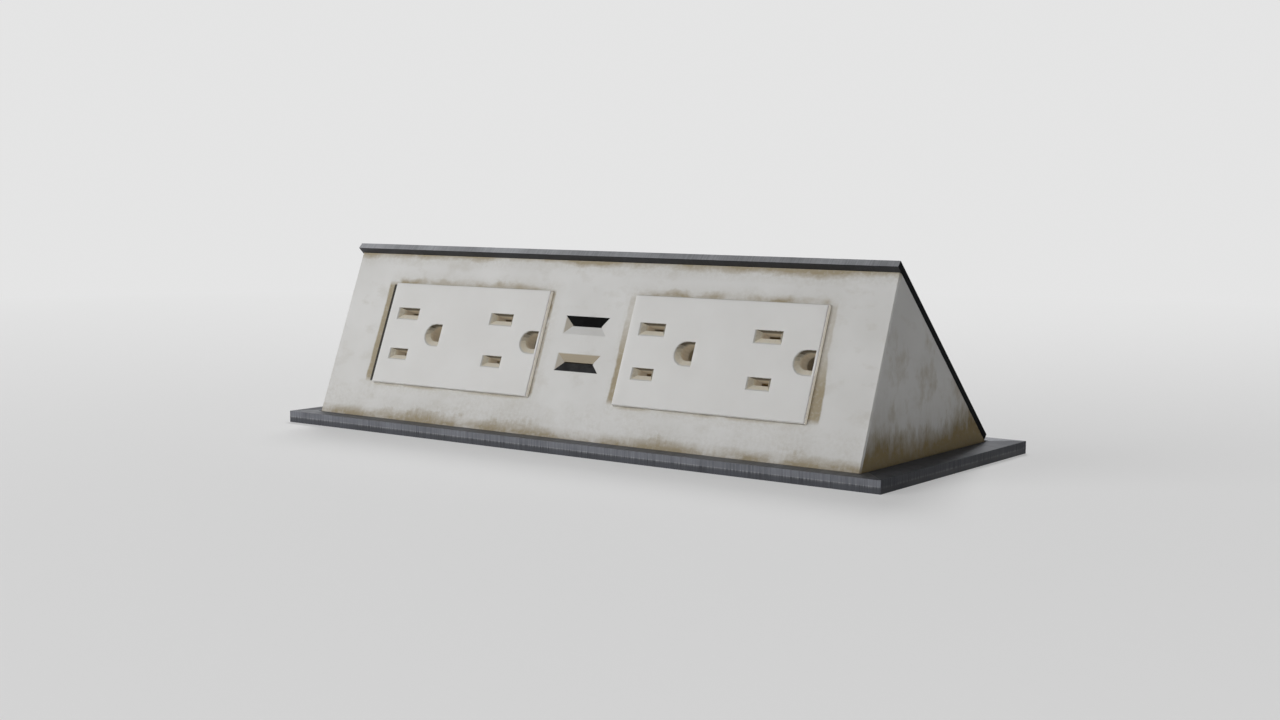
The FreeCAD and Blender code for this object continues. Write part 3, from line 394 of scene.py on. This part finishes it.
# Bush.
# A black rubber grommet sprung into the hole in the rear wall of the well, to guard a cord.
BUSH_CENTRE = (60.0, 34.822, -30.006)
BUSH_SECTION = [
    (4.5, -1.0), (8.0, -1.0), (8.3, -0.7), (8.3, -0.02), (6.05, -0.02), (6.05, 1.7), (8.3, 1.7), (8.3, 2.6),
    (8.0, 3.4), (7.3, 3.95), (5.4, 4.28), (4.8, 4.1), (4.5, 3.7),
]
RUBBER_BLACK = (0.012, 0.012, 0.013)
RUBBER_BLOOM = (0.03, 0.03, 0.031)

rubber, rubber_shader = new_finish("black_rubber", 0.7)
rubber_grain = noise(rubber, place_of(rubber), 2.2, 5.0)
bloom = noise(rubber, place_of(rubber), 0.3, 3.0)
rubber_colour = colours(rubber, fade(rubber, bloom, 0.4, 0.75), RUBBER_BLACK, RUBBER_BLOOM)
wire(rubber, rubber_colour, rubber_shader, "Base Color")
wire(rubber, fade(rubber, rubber_grain, 0.3, 0.7, 0.6, 0.8), rubber_shader, "Roughness")
raise_marks(rubber, rubber_shader, rubber_grain, 0.00002, 0.5)

bush_shape = bmesh.new()
spin = turn_to((0, 1, 0))
rings = []
for step in range(64):
    angle = math.tau * step / 64
    rings.append([
        bush_shape.verts.new((Vector(BUSH_CENTRE) + spin @ Vector(
            (radius * math.cos(angle), radius * math.sin(angle), along))) / 1000)
        for radius, along in BUSH_SECTION
    ])
for step, ring in enumerate(rings):
    following = rings[(step + 1) % len(rings)]
    for index in range(len(ring)):
        after = (index + 1) % len(ring)
        bush_shape.faces.new((ring[index], ring[after], following[after], following[index]))
bush = link("rubber_bush", to_mesh("rubber_bush", bush_shape, 50), "housing", rubber)
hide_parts("cord_bush")


# Hinge.
# Two leaves of dark steel with rolled knuckles, and a straight pin through them. One leaf is screwed
# to the rear rail, the other is let into the underside of the lid.
HINGE_DARK = (0.11, 0.11, 0.115)
HINGE_LIGHT = (0.23, 0.23, 0.235)

hinge_steel, hinge_shader = new_finish("dark_hinge_steel", 0.42, 0.85)
draw_lines = noise(hinge_steel, place_of(hinge_steel, (40, 2500, 2500)), 1.0, 4.0)
hinge_patches = noise(hinge_steel, place_of(hinge_steel), 0.2, 4.0)
hinge_share = fade(hinge_steel, total(hinge_steel, draw_lines, hinge_patches), 0.75, 1.25)
wire(hinge_steel, colours(hinge_steel, hinge_share, HINGE_DARK, HINGE_LIGHT), hinge_shader, "Base Color")
raise_marks(hinge_steel, hinge_shader, draw_lines, 0.00001, 0.6)
for node in ("hinge_frame_leaf", "hinge_lid_leaf"):
    ease_edges(dress(node, hinge_steel), 0.00008, 40)
dress("hinge_pin", hinge_steel)


# Lid.
# A flat plate of the same brushed metal as the rim, with four studs welded below for its nuts. Its front end
# face is painted pale, as painted light; its sides and underside are painted darker, as painted shade.
LID_SLOPE = math.radians(43.7)
FRONT_PAINTED_LIGHT = (0.53, 0.54, 0.565)
UNDERSIDE_PAINTED_SHADE = (0.022, 0.022, 0.024)
SIDE_EDGE_PAINTED_SHADE = (0.012, 0.0125, 0.014)


def larger(material, *values):
    return reckon(material, "MAXIMUM", *values)


lid_metal, lid_shader = new_finish("brushed_lid_metal", 0.42, 0.6)
lid_strokes = noise(lid_metal, place_of(lid_metal, (2600, 60, 60)), 1.0, 5.0, 0.6)
lid_smudges = noise(lid_metal, place_of(lid_metal), 0.05, 6.0, 0.6)
lid_both = total(lid_metal, times(lid_metal, lid_strokes, 1.2), lid_smudges)
lid_colour = colours(lid_metal, fade(lid_metal, lid_both, 0.85, 1.35), BRUSHED_DARK, BRUSHED_LIGHT)
lid_x, lid_y, lid_z = parts_of(lid_metal, add_node(lid_metal, "ShaderNodeTexCoord").outputs["Normal"])
off_plate = total(
    lid_metal, times(lid_metal, lid_y, math.sin(LID_SLOPE)), times(lid_metal, lid_z, math.cos(LID_SLOPE))
)
up_slope = less(
    lid_metal, times(lid_metal, lid_z, math.sin(LID_SLOPE)), times(lid_metal, lid_y, math.cos(LID_SLOPE))
)
# Painted light: the end face that turns up to the front is painted pale, streaked with the brushing.
at_front = fade(lid_metal, up_slope, 0.5, 0.9)
painted_front_light = times(lid_metal, at_front, fade(lid_metal, lid_both, 0.85, 1.35, 0.6, 1.0))
lid_colour = colours(lid_metal, painted_front_light, lid_colour, FRONT_PAINTED_LIGHT)
# Painted shade: the underside is painted near black.
at_underside = fade(lid_metal, off_plate, -0.5, -0.9, 0.0, 0.85)
lid_colour = colours(lid_metal, at_underside, lid_colour, UNDERSIDE_PAINTED_SHADE)
# Painted shade: the side edges are painted near black; they are also made rougher and less shiny.
at_side = fade(lid_metal, without_sign(lid_metal, lid_x), 0.6, 0.95)
lid_colour = colours(lid_metal, at_side, lid_colour, SIDE_EDGE_PAINTED_SHADE)
wire(lid_metal, lid_colour, lid_shader, "Base Color")
lid_roughness = fade(lid_metal, lid_smudges, 0.3, 0.7, 0.34, 0.52)
lid_roughness = larger(lid_metal, lid_roughness, times(lid_metal, at_side, 0.85))
wire(lid_metal, lid_roughness, lid_shader, "Roughness")
wire(lid_metal, fade(lid_metal, at_side, 0.0, 1.0, 0.6, 0.0), lid_shader, "Metallic")
wire(lid_metal, fade(lid_metal, at_side, 0.0, 1.0, 0.5, 0.1), lid_shader, "Specular IOR Level")
raise_marks(lid_metal, lid_shader, lid_strokes, 0.00002, 0.8)
ease_edges(dress("lid_plate", lid_metal), 0.00012, 20)
for node in ("lid_nuts", "lid_leaf_screws"):
    ease_edges(dress(node, plated_steel), 0.0001)


# Shell.
# Front panel and end walls are one moulding of ivory plastic, aged, with dust and grease in tan smears on
# it. The dark strip left of the left face is painted shadow; tan strips under and right of the outlet faces
# and tan on the port mouths' walls are smears together with painted shade. Steel stop pins are pressed into
# it from below.
PANEL_SLOPE = math.radians(68.7)
PANEL_FOOT = Vector((0, -37.05, 3.73))
PANEL_LENGTH = 52.6
FACE_CENTRES = {"left": -45.8, "right": 47.2}
FACE_UP = 26.88
FACE_HALF_LENGTH = 31.0
FACE_HALF_HEIGHT = 16.0
SMEAR_FOOT = 12.5
SMEAR_TOP = 42.2
GAP_FOOT = 11.5
GAP_TOP = 42.4
PORT_ACROSS = 0.15
PORT_HALF_LENGTH = 7.9
PORTS_UP = 27.72
PORT_NEAR = 2.7
PORT_FAR = 8.3
IVORY = (0.73, 0.725, 0.71)
IVORY_SHADE = (0.665, 0.658, 0.637)
TAN_SMEAR_AND_SHADE = (0.39, 0.325, 0.215)
PORT_WALL_TAN_SHADE = (0.33, 0.27, 0.175)
GREY_DUST = (0.53, 0.505, 0.45)
OLIVE_SOIL = (0.3, 0.228, 0.11)
PALE_SOIL = (0.5, 0.395, 0.215)
SHADOW_STRIP_DARK = (0.035, 0.03, 0.024)


def panel_place(material):
    """Position in mm across the panel, up its slope and out of it."""
    turn = Matrix.Rotation(-PANEL_SLOPE, 3, "X")
    place = add_node(material, "ShaderNodeTexCoord").outputs["Object"]
    mapping = add_node(material, "ShaderNodeMapping", [
        ("Vector", place), ("Scale", (1000, 1000, 1000)), ("Rotation", (-PANEL_SLOPE, 0, 0)),
        ("Location", -(turn @ PANEL_FOOT)),
    ])
    return mapping.outputs["Vector"]


def facing_of(material):
    """How far a face looks along x, and how far it looks up the panel."""
    x, y, z = parts_of(material, add_node(material, "ShaderNodeTexCoord").outputs["Normal"])
    upward = total(
        material, times(material, y, math.cos(PANEL_SLOPE)), times(material, z, math.sin(PANEL_SLOPE))
    )
    return x, upward


def within(material, value, low, high, soft):
    """1 between low and high, fading to 0 over the soft width outside them."""
    rise = fade(material, value, low - soft, low)
    fall = fade(material, value, high + soft, high)
    return times(material, rise, fall)


def swing(material, pattern, reach):
    """Turns a pattern round 0.5 into plus and minus half the reach."""
    return times(material, less(material, pattern, 0.5), reach)


ivory, ivory_shader = new_finish("aged_ivory_plastic", 0.45, 0.0, 0.4)
panel = panel_place(ivory)
x, up, out = parts_of(ivory, panel)
on_front = fade(ivory, out, -1.2, -0.6)
fine = noise(ivory, panel, 0.9, 5.0, 0.65)
coarse = noise(ivory, panel, 0.16, 5.0, 0.6)
broad = noise(ivory, panel, 0.045, 3.0)
streaks = noise(ivory, stretched(ivory, panel, (0.55, 0.07, 0.07)), 1.0, 5.0, 0.65)
rub = noise(ivory, stretched(ivory, panel, (0.1, 0.16, 0.1), (0, 0, 0.5)), 1.0, 6.0, 0.6)
drifts = noise(ivory, stretched(ivory, panel, (0.045, 0.09, 0.045)), 1.0, 7.0, 0.6)
patches = noise(ivory, stretched(ivory, panel, (0.09, 0.16, 0.16)), 1.0, 4.0, 0.55)
ragged = total(ivory, swing(ivory, coarse, 5.0), swing(ivory, fine, 1.6))
ragged_x = total(ivory, x, ragged)
ragged_up = total(ivory, up, ragged)

# Soil along the panel's foot and under the lid
foot_patch = fade(ivory, drifts, 0.42, 0.6)
foot_edge = times(ivory, less(ivory, total(ivory, streaks, times(ivory, coarse, 0.6)), 0.8), 6.0)
foot_reach = total(ivory, times(ivory, foot_patch, 3.0), foot_edge)
foot_line = times(
    ivory, fade(ivory, up, 3.2, 0.7), fade(ivory, total(ivory, streaks, foot_patch), 0.4, 1.1, 0.2, 1.0)
)
foot_tan = times(
    ivory, fade(ivory, less(ivory, foot_reach, up), -1.4, 2.2), fade(ivory, foot_patch, 0.0, 0.8, 0.25, 1.0)
)
foot_dust = times(
    ivory, fade(ivory, less(ivory, total(ivory, foot_reach, 6.0), up), -4.0, 6.0),
    fade(ivory, foot_patch, 0.0, 1.0, 0.35, 1.0),
)
below_lid = less(ivory, PANEL_LENGTH, up)
head_reach = total(ivory, swing(ivory, drifts, 8.0), 1.2)
head_tan = fade(ivory, less(ivory, head_reach, below_lid), -0.6, 1.2)
head_dust = fade(ivory, less(ivory, total(ivory, head_reach, 1.8), below_lid), -1.5, 3.0)

# Tan smears above the outlet faces and beside their left edges; tan strips under the faces and beside their
# right edges, which are painted shadow of the raised faces together with smears
patchy = fade(ivory, patches, 0.4, 0.62, 0.15, 1.0)
bottom = FACE_UP - FACE_HALF_HEIGHT
top = FACE_UP + FACE_HALF_HEIGHT
smears_and_painted_shadows = [foot_line, foot_tan, head_tan]
dusts = [foot_dust, head_dust]
edges = {}
for side, centre in FACE_CENTRES.items():
    left_edge = centre - FACE_HALF_LENGTH
    right_edge = centre + FACE_HALF_LENGTH
    edges[side] = (left_edge, right_edge)
    along = within(ivory, x, left_edge + 1.0, right_edge - 1.0, 1.5)
    above = within(ivory, ragged_up, top - 2.0, top + 0.8, 1.6)
    beneath = within(ivory, up, bottom - 0.5, bottom, 0.6)
    smears_and_painted_shadows.append(times(ivory, along, above, patchy))
    # Painted shadow: a thin tan strip just under each face.
    smears_and_painted_shadows.append(times(ivory, along, beneath, patchy, 0.6))
    halo_across = within(ivory, ragged_x, left_edge - 1.5, right_edge + 1.5, 3.0)
    halo_up = within(ivory, ragged_up, bottom - 1.2, top + 1.8, 2.6)
    dusts.append(times(ivory, halo_across, halo_up, 0.5))

tall = within(ivory, up, SMEAR_FOOT, SMEAR_TOP, 1.6)
low_down = fade(ivory, up, 30.0, 20.0)
near_x = total(ivory, x, swing(ivory, coarse, 1.4))
leaning_x = less(ivory, near_x, times(ivory, low_down, 1.3))
left_of_left, right_of_left = edges["left"]
left_of_right, right_of_right = edges["right"]
# Beside the faces' left edges these are tan smears; beside their right edges they are tan smears together
# with painted shadow of the raised faces.
for across, low, high, soft, strength in (
    (near_x, left_of_left - 3.6, left_of_left, 0.5, 1.0),
    (near_x, right_of_left, right_of_left + 1.0, 0.5, fade(ivory, coarse, 0.38, 0.6)),
    (near_x, left_of_right - 2.3, left_of_right, 0.5, fade(ivory, up, 36.0, 24.0, 0.25, 1.0)),
    (leaning_x, right_of_right - 1.3, right_of_right + 2.0, 0.45, fade(ivory, low_down, 0.0, 1.0, 0.4, 1.0)),
):
    smears_and_painted_shadows.append(times(ivory, within(ivory, across, low, high, soft), tall, strength))
# Painted shadow: a near-black strip on the panel just left of the left face, in place of the shade of a gap.
gap_across = within(ivory, x, left_of_left - 1.85, left_of_left, 0.15)
painted_gap_shadow = times(ivory, gap_across, within(ivory, up, GAP_FOOT, GAP_TOP, 0.4), on_front)

# Tan on the walls of the charging ports' mouths that face right or down: dust in the recess together with
# painted shade
faces_x, faces_up = facing_of(ivory)
port_up = without_sign(ivory, less(ivory, up, PORTS_UP))
in_port = times(
    ivory, within(ivory, x, PORT_ACROSS - PORT_HALF_LENGTH, PORT_ACROSS + PORT_HALF_LENGTH, 0.05),
    within(ivory, port_up, PORT_NEAR, PORT_FAR, 0.05), fade(ivory, out, -0.03, -0.1),
)
# Painted shade mixed with dust: walls facing right or down get the tan.
port_side = less(ivory, faces_x, times(ivory, faces_up, 1.6))
port_wall_tan_shade = times(ivory, in_port, fade(ivory, port_side, 0.05, 0.3))

# Soil that climbs the end walls, and smudges above it
on_end = fade(ivory, without_sign(ivory, faces_x), 0.8, 0.95)
backward, height = parts_of(ivory, place_of(ivory))[1:]
runs = noise(ivory, place_of(ivory, (150, 150, 65)), 1.0, 8.0, 0.68)
bays = noise(ivory, place_of(ivory, (60, 60, 20)), 1.0, 3.0, 0.5)
spots = noise(ivory, place_of(ivory, (130, 130, 85)), 1.0, 6.0, 0.62)
end_reach = total(
    ivory, swing(ivory, runs, 22.0), 11.5, swing(ivory, bays, 14.0),
    fade(ivory, backward, 0.0, 32.0, 0.0, 4.0),
)
end_soil = times(ivory, fade(ivory, less(ivory, end_reach, height), -2.0, 5.5), on_end)
end_dust = times(
    ivory, fade(ivory, less(ivory, total(ivory, end_reach, 11.0), height), 0.0, 18.0), on_end,
    fade(ivory, runs, 0.4, 0.62, 0.2, 0.8),
)
end_smudge = times(
    ivory, fade(ivory, spots, 0.5, 0.66), within(ivory, height, 12.0, 34.0, 8.0), on_end, 0.45
)

panel_dust = times(ivory, larger(ivory, *dusts), on_front, fade(ivory, fine, 0.3, 0.62), 0.75)
panel_soil_and_shade = times(ivory, larger(ivory, *smears_and_painted_shadows), on_front, fade(ivory, fine, 0.2, 0.5, 0.55, 0.95))
soil_colour = colours(ivory, fade(ivory, height, 4.0, 10.0), PALE_SOIL, OLIVE_SOIL)
shell_colour = colours(ivory, fade(ivory, broad, 0.35, 0.65), IVORY, IVORY_SHADE)
for share, layer in (
    (fade(ivory, rub, 0.54, 0.7, 0.0, 0.42), GREY_DUST),
    (panel_dust, GREY_DUST),
    (panel_soil_and_shade, TAN_SMEAR_AND_SHADE),
    (painted_gap_shadow, SHADOW_STRIP_DARK),
    (port_wall_tan_shade, PORT_WALL_TAN_SHADE),
    (end_dust, GREY_DUST),
    (end_smudge, OLIVE_SOIL),
    (times(ivory, end_soil, fade(ivory, fine, 0.2, 0.5, 0.7, 1.0)), soil_colour),
):
    shell_colour = colours(ivory, share, shell_colour, layer)
wire(ivory, shell_colour, ivory_shader, "Base Color")
soil_and_shade = larger(ivory, panel_soil_and_shade, end_soil)
wire(ivory, fade(ivory, soil_and_shade, 0.0, 1.0, 0.42, 0.8), ivory_shader, "Roughness")
raise_marks(ivory, ivory_shader, total(ivory, fine, times(ivory, soil_and_shade, 1.2)), 0.00003, 0.5)
ease_edges(dress("module_shell", ivory), 0.0003, 30)
ease_edges(dress("stop_pins", plated_steel), 0.00012)


# Outlet faces.
# Smooth ivory plates pressed through the panel from behind. The walls of their mouths have brown dust on
# them and are coloured by which way each wall faces, pale tan facing up or right and dark olive facing down
# or left, as painted light and shade. Deep in the holes and on the outer walls the plastic is painted pale
# and made to glow faintly, as painted light, so that the holes and right edges aren't dark.
CLEAN_IVORY = (0.735, 0.73, 0.715)
CLEAN_SHADE = (0.705, 0.698, 0.68)
LIT_WALL_PAINTED_TAN = (0.86, 0.8, 0.67)
SHADED_WALL_PAINTED_OLIVE = (0.12, 0.099, 0.066)
DEEP_HOLE_PAINTED_LIGHT = (0.62, 0.52, 0.37)
OUTER_WALL_PAINTED_LIGHT = (0.86, 0.84, 0.79)
PAINTED_GLOW_WARM = (1.0, 0.94, 0.8, 1)
FACE_PROUD = 1.15
FACES_MIDDLE = (FACE_CENTRES["left"] + FACE_CENTRES["right"]) / 2
FACES_HALF_APART = (FACE_CENTRES["right"] - FACE_CENTRES["left"]) / 2

face_ivory, face_shader = new_finish("clean_ivory_plastic", 0.38, 0.0, 0.45)
face_shader.inputs["Subsurface Weight"].default_value = 0.7
face_shader.inputs["Subsurface Radius"].default_value = (1.0, 1.0, 1.0)
face_shader.inputs["Subsurface Scale"].default_value = 0.003
# Warm colour of the painted glow in the holes and on the right edges.
face_shader.inputs["Emission Color"].default_value = PAINTED_GLOW_WARM
face_place = panel_place(face_ivory)
x, up, out = parts_of(face_ivory, face_place)
faces_x, faces_up = facing_of(face_ivory)
face_fine = noise(face_ivory, face_place, 1.2, 4.0)
face_broad = noise(face_ivory, face_place, 0.06, 3.0)
speckle = swing(face_ivory, face_fine, 0.5)
# Painted light and shade: mouth walls facing up or right are painted pale tan, those facing down or left
# dark olive.
lit_wall = total(face_ivory, times(face_ivory, faces_up, 0.8), times(face_ivory, faces_x, 0.45), speckle)
wall_painted_light_and_shade = colours(face_ivory, fade(face_ivory, lit_wall, -0.45, 0.45), SHADED_WALL_PAINTED_OLIVE, LIT_WALL_PAINTED_TAN)
# Painted light: deep in the holes the walls are painted pale tan.
wall_painted_light_and_shade = colours(face_ivory, fade(face_ivory, out, -0.25, -1.6), wall_painted_light_and_shade, DEEP_HOLE_PAINTED_LIGHT)
from_middle = without_sign(face_ivory, less(face_ivory, x, FACES_MIDDLE))
from_centre = without_sign(face_ivory, less(face_ivory, from_middle, FACES_HALF_APART))
from_row = without_sign(face_ivory, less(face_ivory, up, FACE_UP))
outer_wall = larger(
    face_ivory, fade(face_ivory, from_centre, FACE_HALF_LENGTH - 0.4, FACE_HALF_LENGTH - 0.15),
    fade(face_ivory, from_row, FACE_HALF_HEIGHT - 0.4, FACE_HALF_HEIGHT - 0.15),
)
# Painted light: the plates' outer walls are painted pale.
wall_painted_light_and_shade = colours(face_ivory, outer_wall, wall_painted_light_and_shade, OUTER_WALL_PAINTED_LIGHT)
inside = fade(face_ivory, total(face_ivory, out, speckle), FACE_PROUD - 0.12, FACE_PROUD - 0.45)
clean = colours(face_ivory, fade(face_ivory, face_broad, 0.35, 0.65), CLEAN_IVORY, CLEAN_SHADE)
wire(face_ivory, colours(face_ivory, inside, clean, wall_painted_light_and_shade), face_shader, "Base Color")
wire(face_ivory, fade(face_ivory, inside, 0.0, 1.0, 0.36, 0.8), face_shader, "Roughness")
# Painted light: deep in the holes the plastic glows faintly through Emission.
hole_painted_glow = fade(face_ivory, out, 0.3, -0.8, 0.0, 0.08)
# Painted light: outer walls that face right glow through Emission, so the right edges aren't dark.
edge_painted_glow = times(face_ivory, outer_wall, fade(face_ivory, faces_x, 0.3, 0.8, 0.0, 0.2))
painted_glow_inside = times(face_ivory, inside, larger(face_ivory, hole_painted_glow, edge_painted_glow))
wire(face_ivory, painted_glow_inside, face_shader, "Emission Strength")
raise_marks(face_ivory, face_shader, face_fine, 0.000008, 0.5)
for side in FACE_CENTRES:
    ease_edges(dress("receptacle_face_" + side, face_ivory), 0.00012, 30)


# Outlet bodies.
# Pale tan mouldings behind the faces, which hold the brass strips in two channels. The charger's case is of
# the same plastic. They glow faintly through Emission, as painted light.
BODY_TAN = (0.5, 0.44, 0.34)
BODY_PALE = (0.58, 0.52, 0.41)
BODY_PAINTED_GLOW = (1.0, 0.82, 0.58, 1)

body_plastic, body_shader = new_finish("tan_body_plastic", 0.48)
# Painted light: a faint warm glow, though no lamp is there.
body_shader.inputs["Emission Color"].default_value = BODY_PAINTED_GLOW
body_shader.inputs["Emission Strength"].default_value = 0.018
body_grain = noise(body_plastic, place_of(body_plastic), 1.1, 5.0)
body_flow = noise(body_plastic, place_of(body_plastic), 0.08, 3.0)
body_colour = colours(body_plastic, fade(body_plastic, body_flow, 0.3, 0.7), BODY_TAN, BODY_PALE)
wire(body_plastic, body_colour, body_shader, "Base Color")
wire(body_plastic, fade(body_plastic, body_grain, 0.3, 0.7, 0.4, 0.58), body_shader, "Roughness")
raise_marks(body_plastic, body_shader, body_grain, 0.00002, 0.5)
for node in ("receptacle_body_left", "receptacle_body_right", "charger_block"):
    ease_edges(dress(node, body_plastic), 0.0003)


# Power strips and earth straps.
# The strips are brass, folded into two leaves under each slot. The straps are plated steel with a
# drawn tube for each earth pin. Small steel screws hold both.
BRASS_DULL = (0.5, 0.35, 0.14)
BRASS_BRIGHT = (0.76, 0.58, 0.28)

brass, brass_shader = new_finish("contact_brass", 0.3, 1.0)
brass_roll = noise(brass, place_of(brass, (60, 1500, 1500)), 1.0, 4.0)
brass_stain = noise(brass, place_of(brass), 0.3, 4.0)
brass_share = fade(brass, total(brass, brass_roll, brass_stain), 0.75, 1.25)
wire(brass, colours(brass, brass_share, BRASS_DULL, BRASS_BRIGHT), brass_shader, "Base Color")
wire(brass, fade(brass, brass_stain, 0.3, 0.7, 0.24, 0.42), brass_shader, "Roughness")
raise_marks(brass, brass_shader, brass_roll, 0.00001, 0.6)
for side in FACE_CENTRES:
    ease_edges(dress("power_strips_" + side, brass), 0.00006)
    ease_edges(dress("earth_strap_" + side, plated_steel), 0.00006)
for node in ("outlet_screws", "terminal_screws"):
    ease_edges(dress(node, plated_steel), 0.00012)


# Charging ports.
# Each has a black tongue that fills half of its hipped mouth, in a folded steel can that is
# soldered to a green board. Two screws hold the board.
TONGUE_BLACK = (0.005, 0.005, 0.005)
TONGUE_WORN = (0.009, 0.009, 0.009)
TONGUE_GREY = (0.03, 0.03, 0.031)
TONGUE_PALE = (0.05, 0.05, 0.051)
BOARD_DARK = (0.01, 0.062, 0.026)
BOARD_LIGHT = (0.02, 0.095, 0.04)

tongue_plastic, tongue_shader = new_finish("black_tongue_plastic", 0.7, 0.0, 0.03)
tongue_grain = noise(tongue_plastic, place_of(tongue_plastic), 0.8, 5.0)
tongue_wear = fade(tongue_plastic, noise(tongue_plastic, place_of(tongue_plastic), 0.35, 4.0), 0.4, 0.65)
tongue_height = parts_of(tongue_plastic, place_of(tongue_plastic))[2]
lower_one = fade(tongue_plastic, tongue_height, 28.0, 26.5)
upper_colour = colours(tongue_plastic, tongue_wear, TONGUE_BLACK, TONGUE_WORN)
lower_colour = colours(tongue_plastic, tongue_wear, TONGUE_GREY, TONGUE_PALE)
tongue_colour = colours(tongue_plastic, lower_one, upper_colour, lower_colour)
wire(tongue_plastic, tongue_colour, tongue_shader, "Base Color")
raise_marks(tongue_plastic, tongue_shader, tongue_grain, 0.00002, 0.4)

board_resin, board_shader = new_finish("green_board_resin", 0.35)
weave = noise(board_resin, place_of(board_resin, (1800, 1800, 1800)), 1.0, 2.0)
copper_below = add_node(
    board_resin, "ShaderNodeTexBrick", [("Vector", place_of(board_resin)), ("Scale", 0.5)]
).outputs["Fac"]
wire(board_resin, colours(board_resin, copper_below, BOARD_DARK, BOARD_LIGHT), board_shader, "Base Color")
raise_marks(board_resin, board_shader, weave, 0.00001, 0.5)
for name in ("upper", "lower"):
    ease_edges(dress("usb_tongue_" + name, tongue_plastic), 0.00005)
    ease_edges(dress("usb_port_" + name, plated_steel), 0.00005)
ease_edges(dress("usb_board", board_resin), 0.0001)
ease_edges(dress("board_screws", plated_steel), 0.00012)


# Wiring cover.
# A folded sheet of plated steel that closes the wiring space from below, held by four screws.
ease_edges(dress("wiring_cover", plated_steel), 0.00015)
ease_edges(dress("cover_screws", plated_steel), 0.00012)


# Floor.
# A pale paper sheet with a hole for the well. Far behind it sweeps up without an edge.
HOLE_X = 0.1022
HOLE_FRONT = -0.0406
HOLE_REAR = 0.0379
REACHES = (0.16, 0.25, 0.5, 1.0, 1.8, 2.4, 2.9, 3.3, 3.55, 3.7)
LIFTS = (0.0, 0.0, 0.0, 0.0, 0.0, 0.12, 0.45, 1.0, 1.8, 3.2)
AROUND = 96
PAPER = 0.8
BACKDROP = 0.78

floor_shape = bmesh.new()
middle = (HOLE_FRONT + HOLE_REAR) / 2
half_depth = (HOLE_REAR - HOLE_FRONT) / 2
corner_turn = math.atan2(half_depth, HOLE_X)
turns = sorted(
    [math.tau * step / AROUND for step in range(AROUND)]
    + [corner_turn, math.pi - corner_turn, math.pi + corner_turn, math.tau - corner_turn]
)
rings = [[]]
for turn in turns:
    across, along = math.cos(turn), math.sin(turn)
    reach = min(HOLE_X / max(abs(across), 1e-9), half_depth / max(abs(along), 1e-9))
    rings[0].append(floor_shape.verts.new((across * reach, middle + along * reach, 0)))
for reach, lift in zip(REACHES, LIFTS):
    rings.append([
        floor_shape.verts.new((math.cos(turn) * reach, middle + math.sin(turn) * reach, lift))
        for turn in turns
    ])
for inner, outer in zip(rings, rings[1:]):
    for step in range(len(turns)):
        after = (step + 1) % len(turns)
        floor_shape.faces.new((inner[step], outer[step], outer[after], inner[after]))
floor_mesh = bpy.data.meshes.new("floor")
floor_shape.to_mesh(floor_mesh)
floor_shape.free()
for face in floor_mesh.polygons:
    face.use_smooth = True
floor = bpy.data.objects.new("floor", floor_mesh)
bpy.context.collection.objects.link(floor)

paper, paper_shader = new_finish("pale_paper", 0.9)
paper_shader.inputs["Base Color"].default_value = (PAPER, PAPER, PAPER, 1)
place = add_node(paper, "ShaderNodeTexCoord").outputs["Object"]
far = add_node(paper, "ShaderNodeVectorMath", [(0, place)], operation="LENGTH").outputs["Value"]
rays = add_node(paper, "ShaderNodeLightPath").outputs
seen = larger(paper, rays["Is Camera Ray"], rays["Is Glossy Ray"], rays["Is Transmission Ray"])
share = times(paper, seen, fade(paper, far, 0.12, 0.75, 0.45, 1.0))
glow = add_node(
    paper, "ShaderNodeEmission", [("Color", (BACKDROP, BACKDROP, BACKDROP, 1)), ("Strength", 1.0)]
)
lit = add_node(
    paper, "ShaderNodeMixShader", [(0, share), (1, paper_shader.outputs[0]), (2, glow.outputs[0])]
)
clear = add_node(paper, "ShaderNodeBsdfTransparent")
under = add_node(paper, "ShaderNodeNewGeometry").outputs["Backfacing"]
whole = add_node(paper, "ShaderNodeMixShader", [(0, under), (1, lit.outputs[0]), (2, clear.outputs[0])])
wire(paper, whole.outputs[0], paper.node_tree.nodes["Material Output"], "Surface")
floor_mesh.materials.append(paper)


# Light.
# A broad softbox in front on the left, a smaller one high behind on the left, and a weak even sky.
world = bpy.data.worlds.new("studio")
bpy.context.scene.world = world
world.use_nodes = True
sky = world.node_tree.nodes["Background"]
sky.inputs["Color"].default_value = (1, 1, 1, 1)
sky.inputs["Strength"].default_value = 0.12
AIM = Vector((0, 0, 0.03))


def lamp(name, direction, distance, size, watts):
    """Hangs a square lamp that way from the part, in metres, turned to face it."""
    data = bpy.data.lights.new(name, "AREA")
    data.shape = "SQUARE"
    data.size = size
    data.energy = watts
    item = bpy.data.objects.new(name, data)
    way = Vector(direction).normalized()
    item.location = way * distance + AIM
    item.rotation_euler = way.to_track_quat("Z", "Y").to_euler()
    item.visible_camera = False
    bpy.context.collection.objects.link(item)


lamp("front_left_softbox", (-0.55, -0.8, 0.3), 1.3, 0.9, 9.6)
lamp("rear_left_softbox", (-0.3, 0.6, 0.76), 1.2, 0.35, 7.5)


# Camera.
# Low in front on the right, as in the photograph.
camera_data = bpy.data.cameras.new("camera")
camera_data.lens = 48.55
camera_data.sensor_width = 36.0
camera = bpy.data.objects.new("camera", camera_data)
camera.location = (0.30466, -0.40904, 0.07365)
camera.rotation_euler = [math.radians(angle) for angle in (84.327, -0.299, 36.638)]
bpy.context.collection.objects.link(camera)
bpy.context.scene.camera = camera
bpy.context.scene.view_settings.view_transform = "Standard"
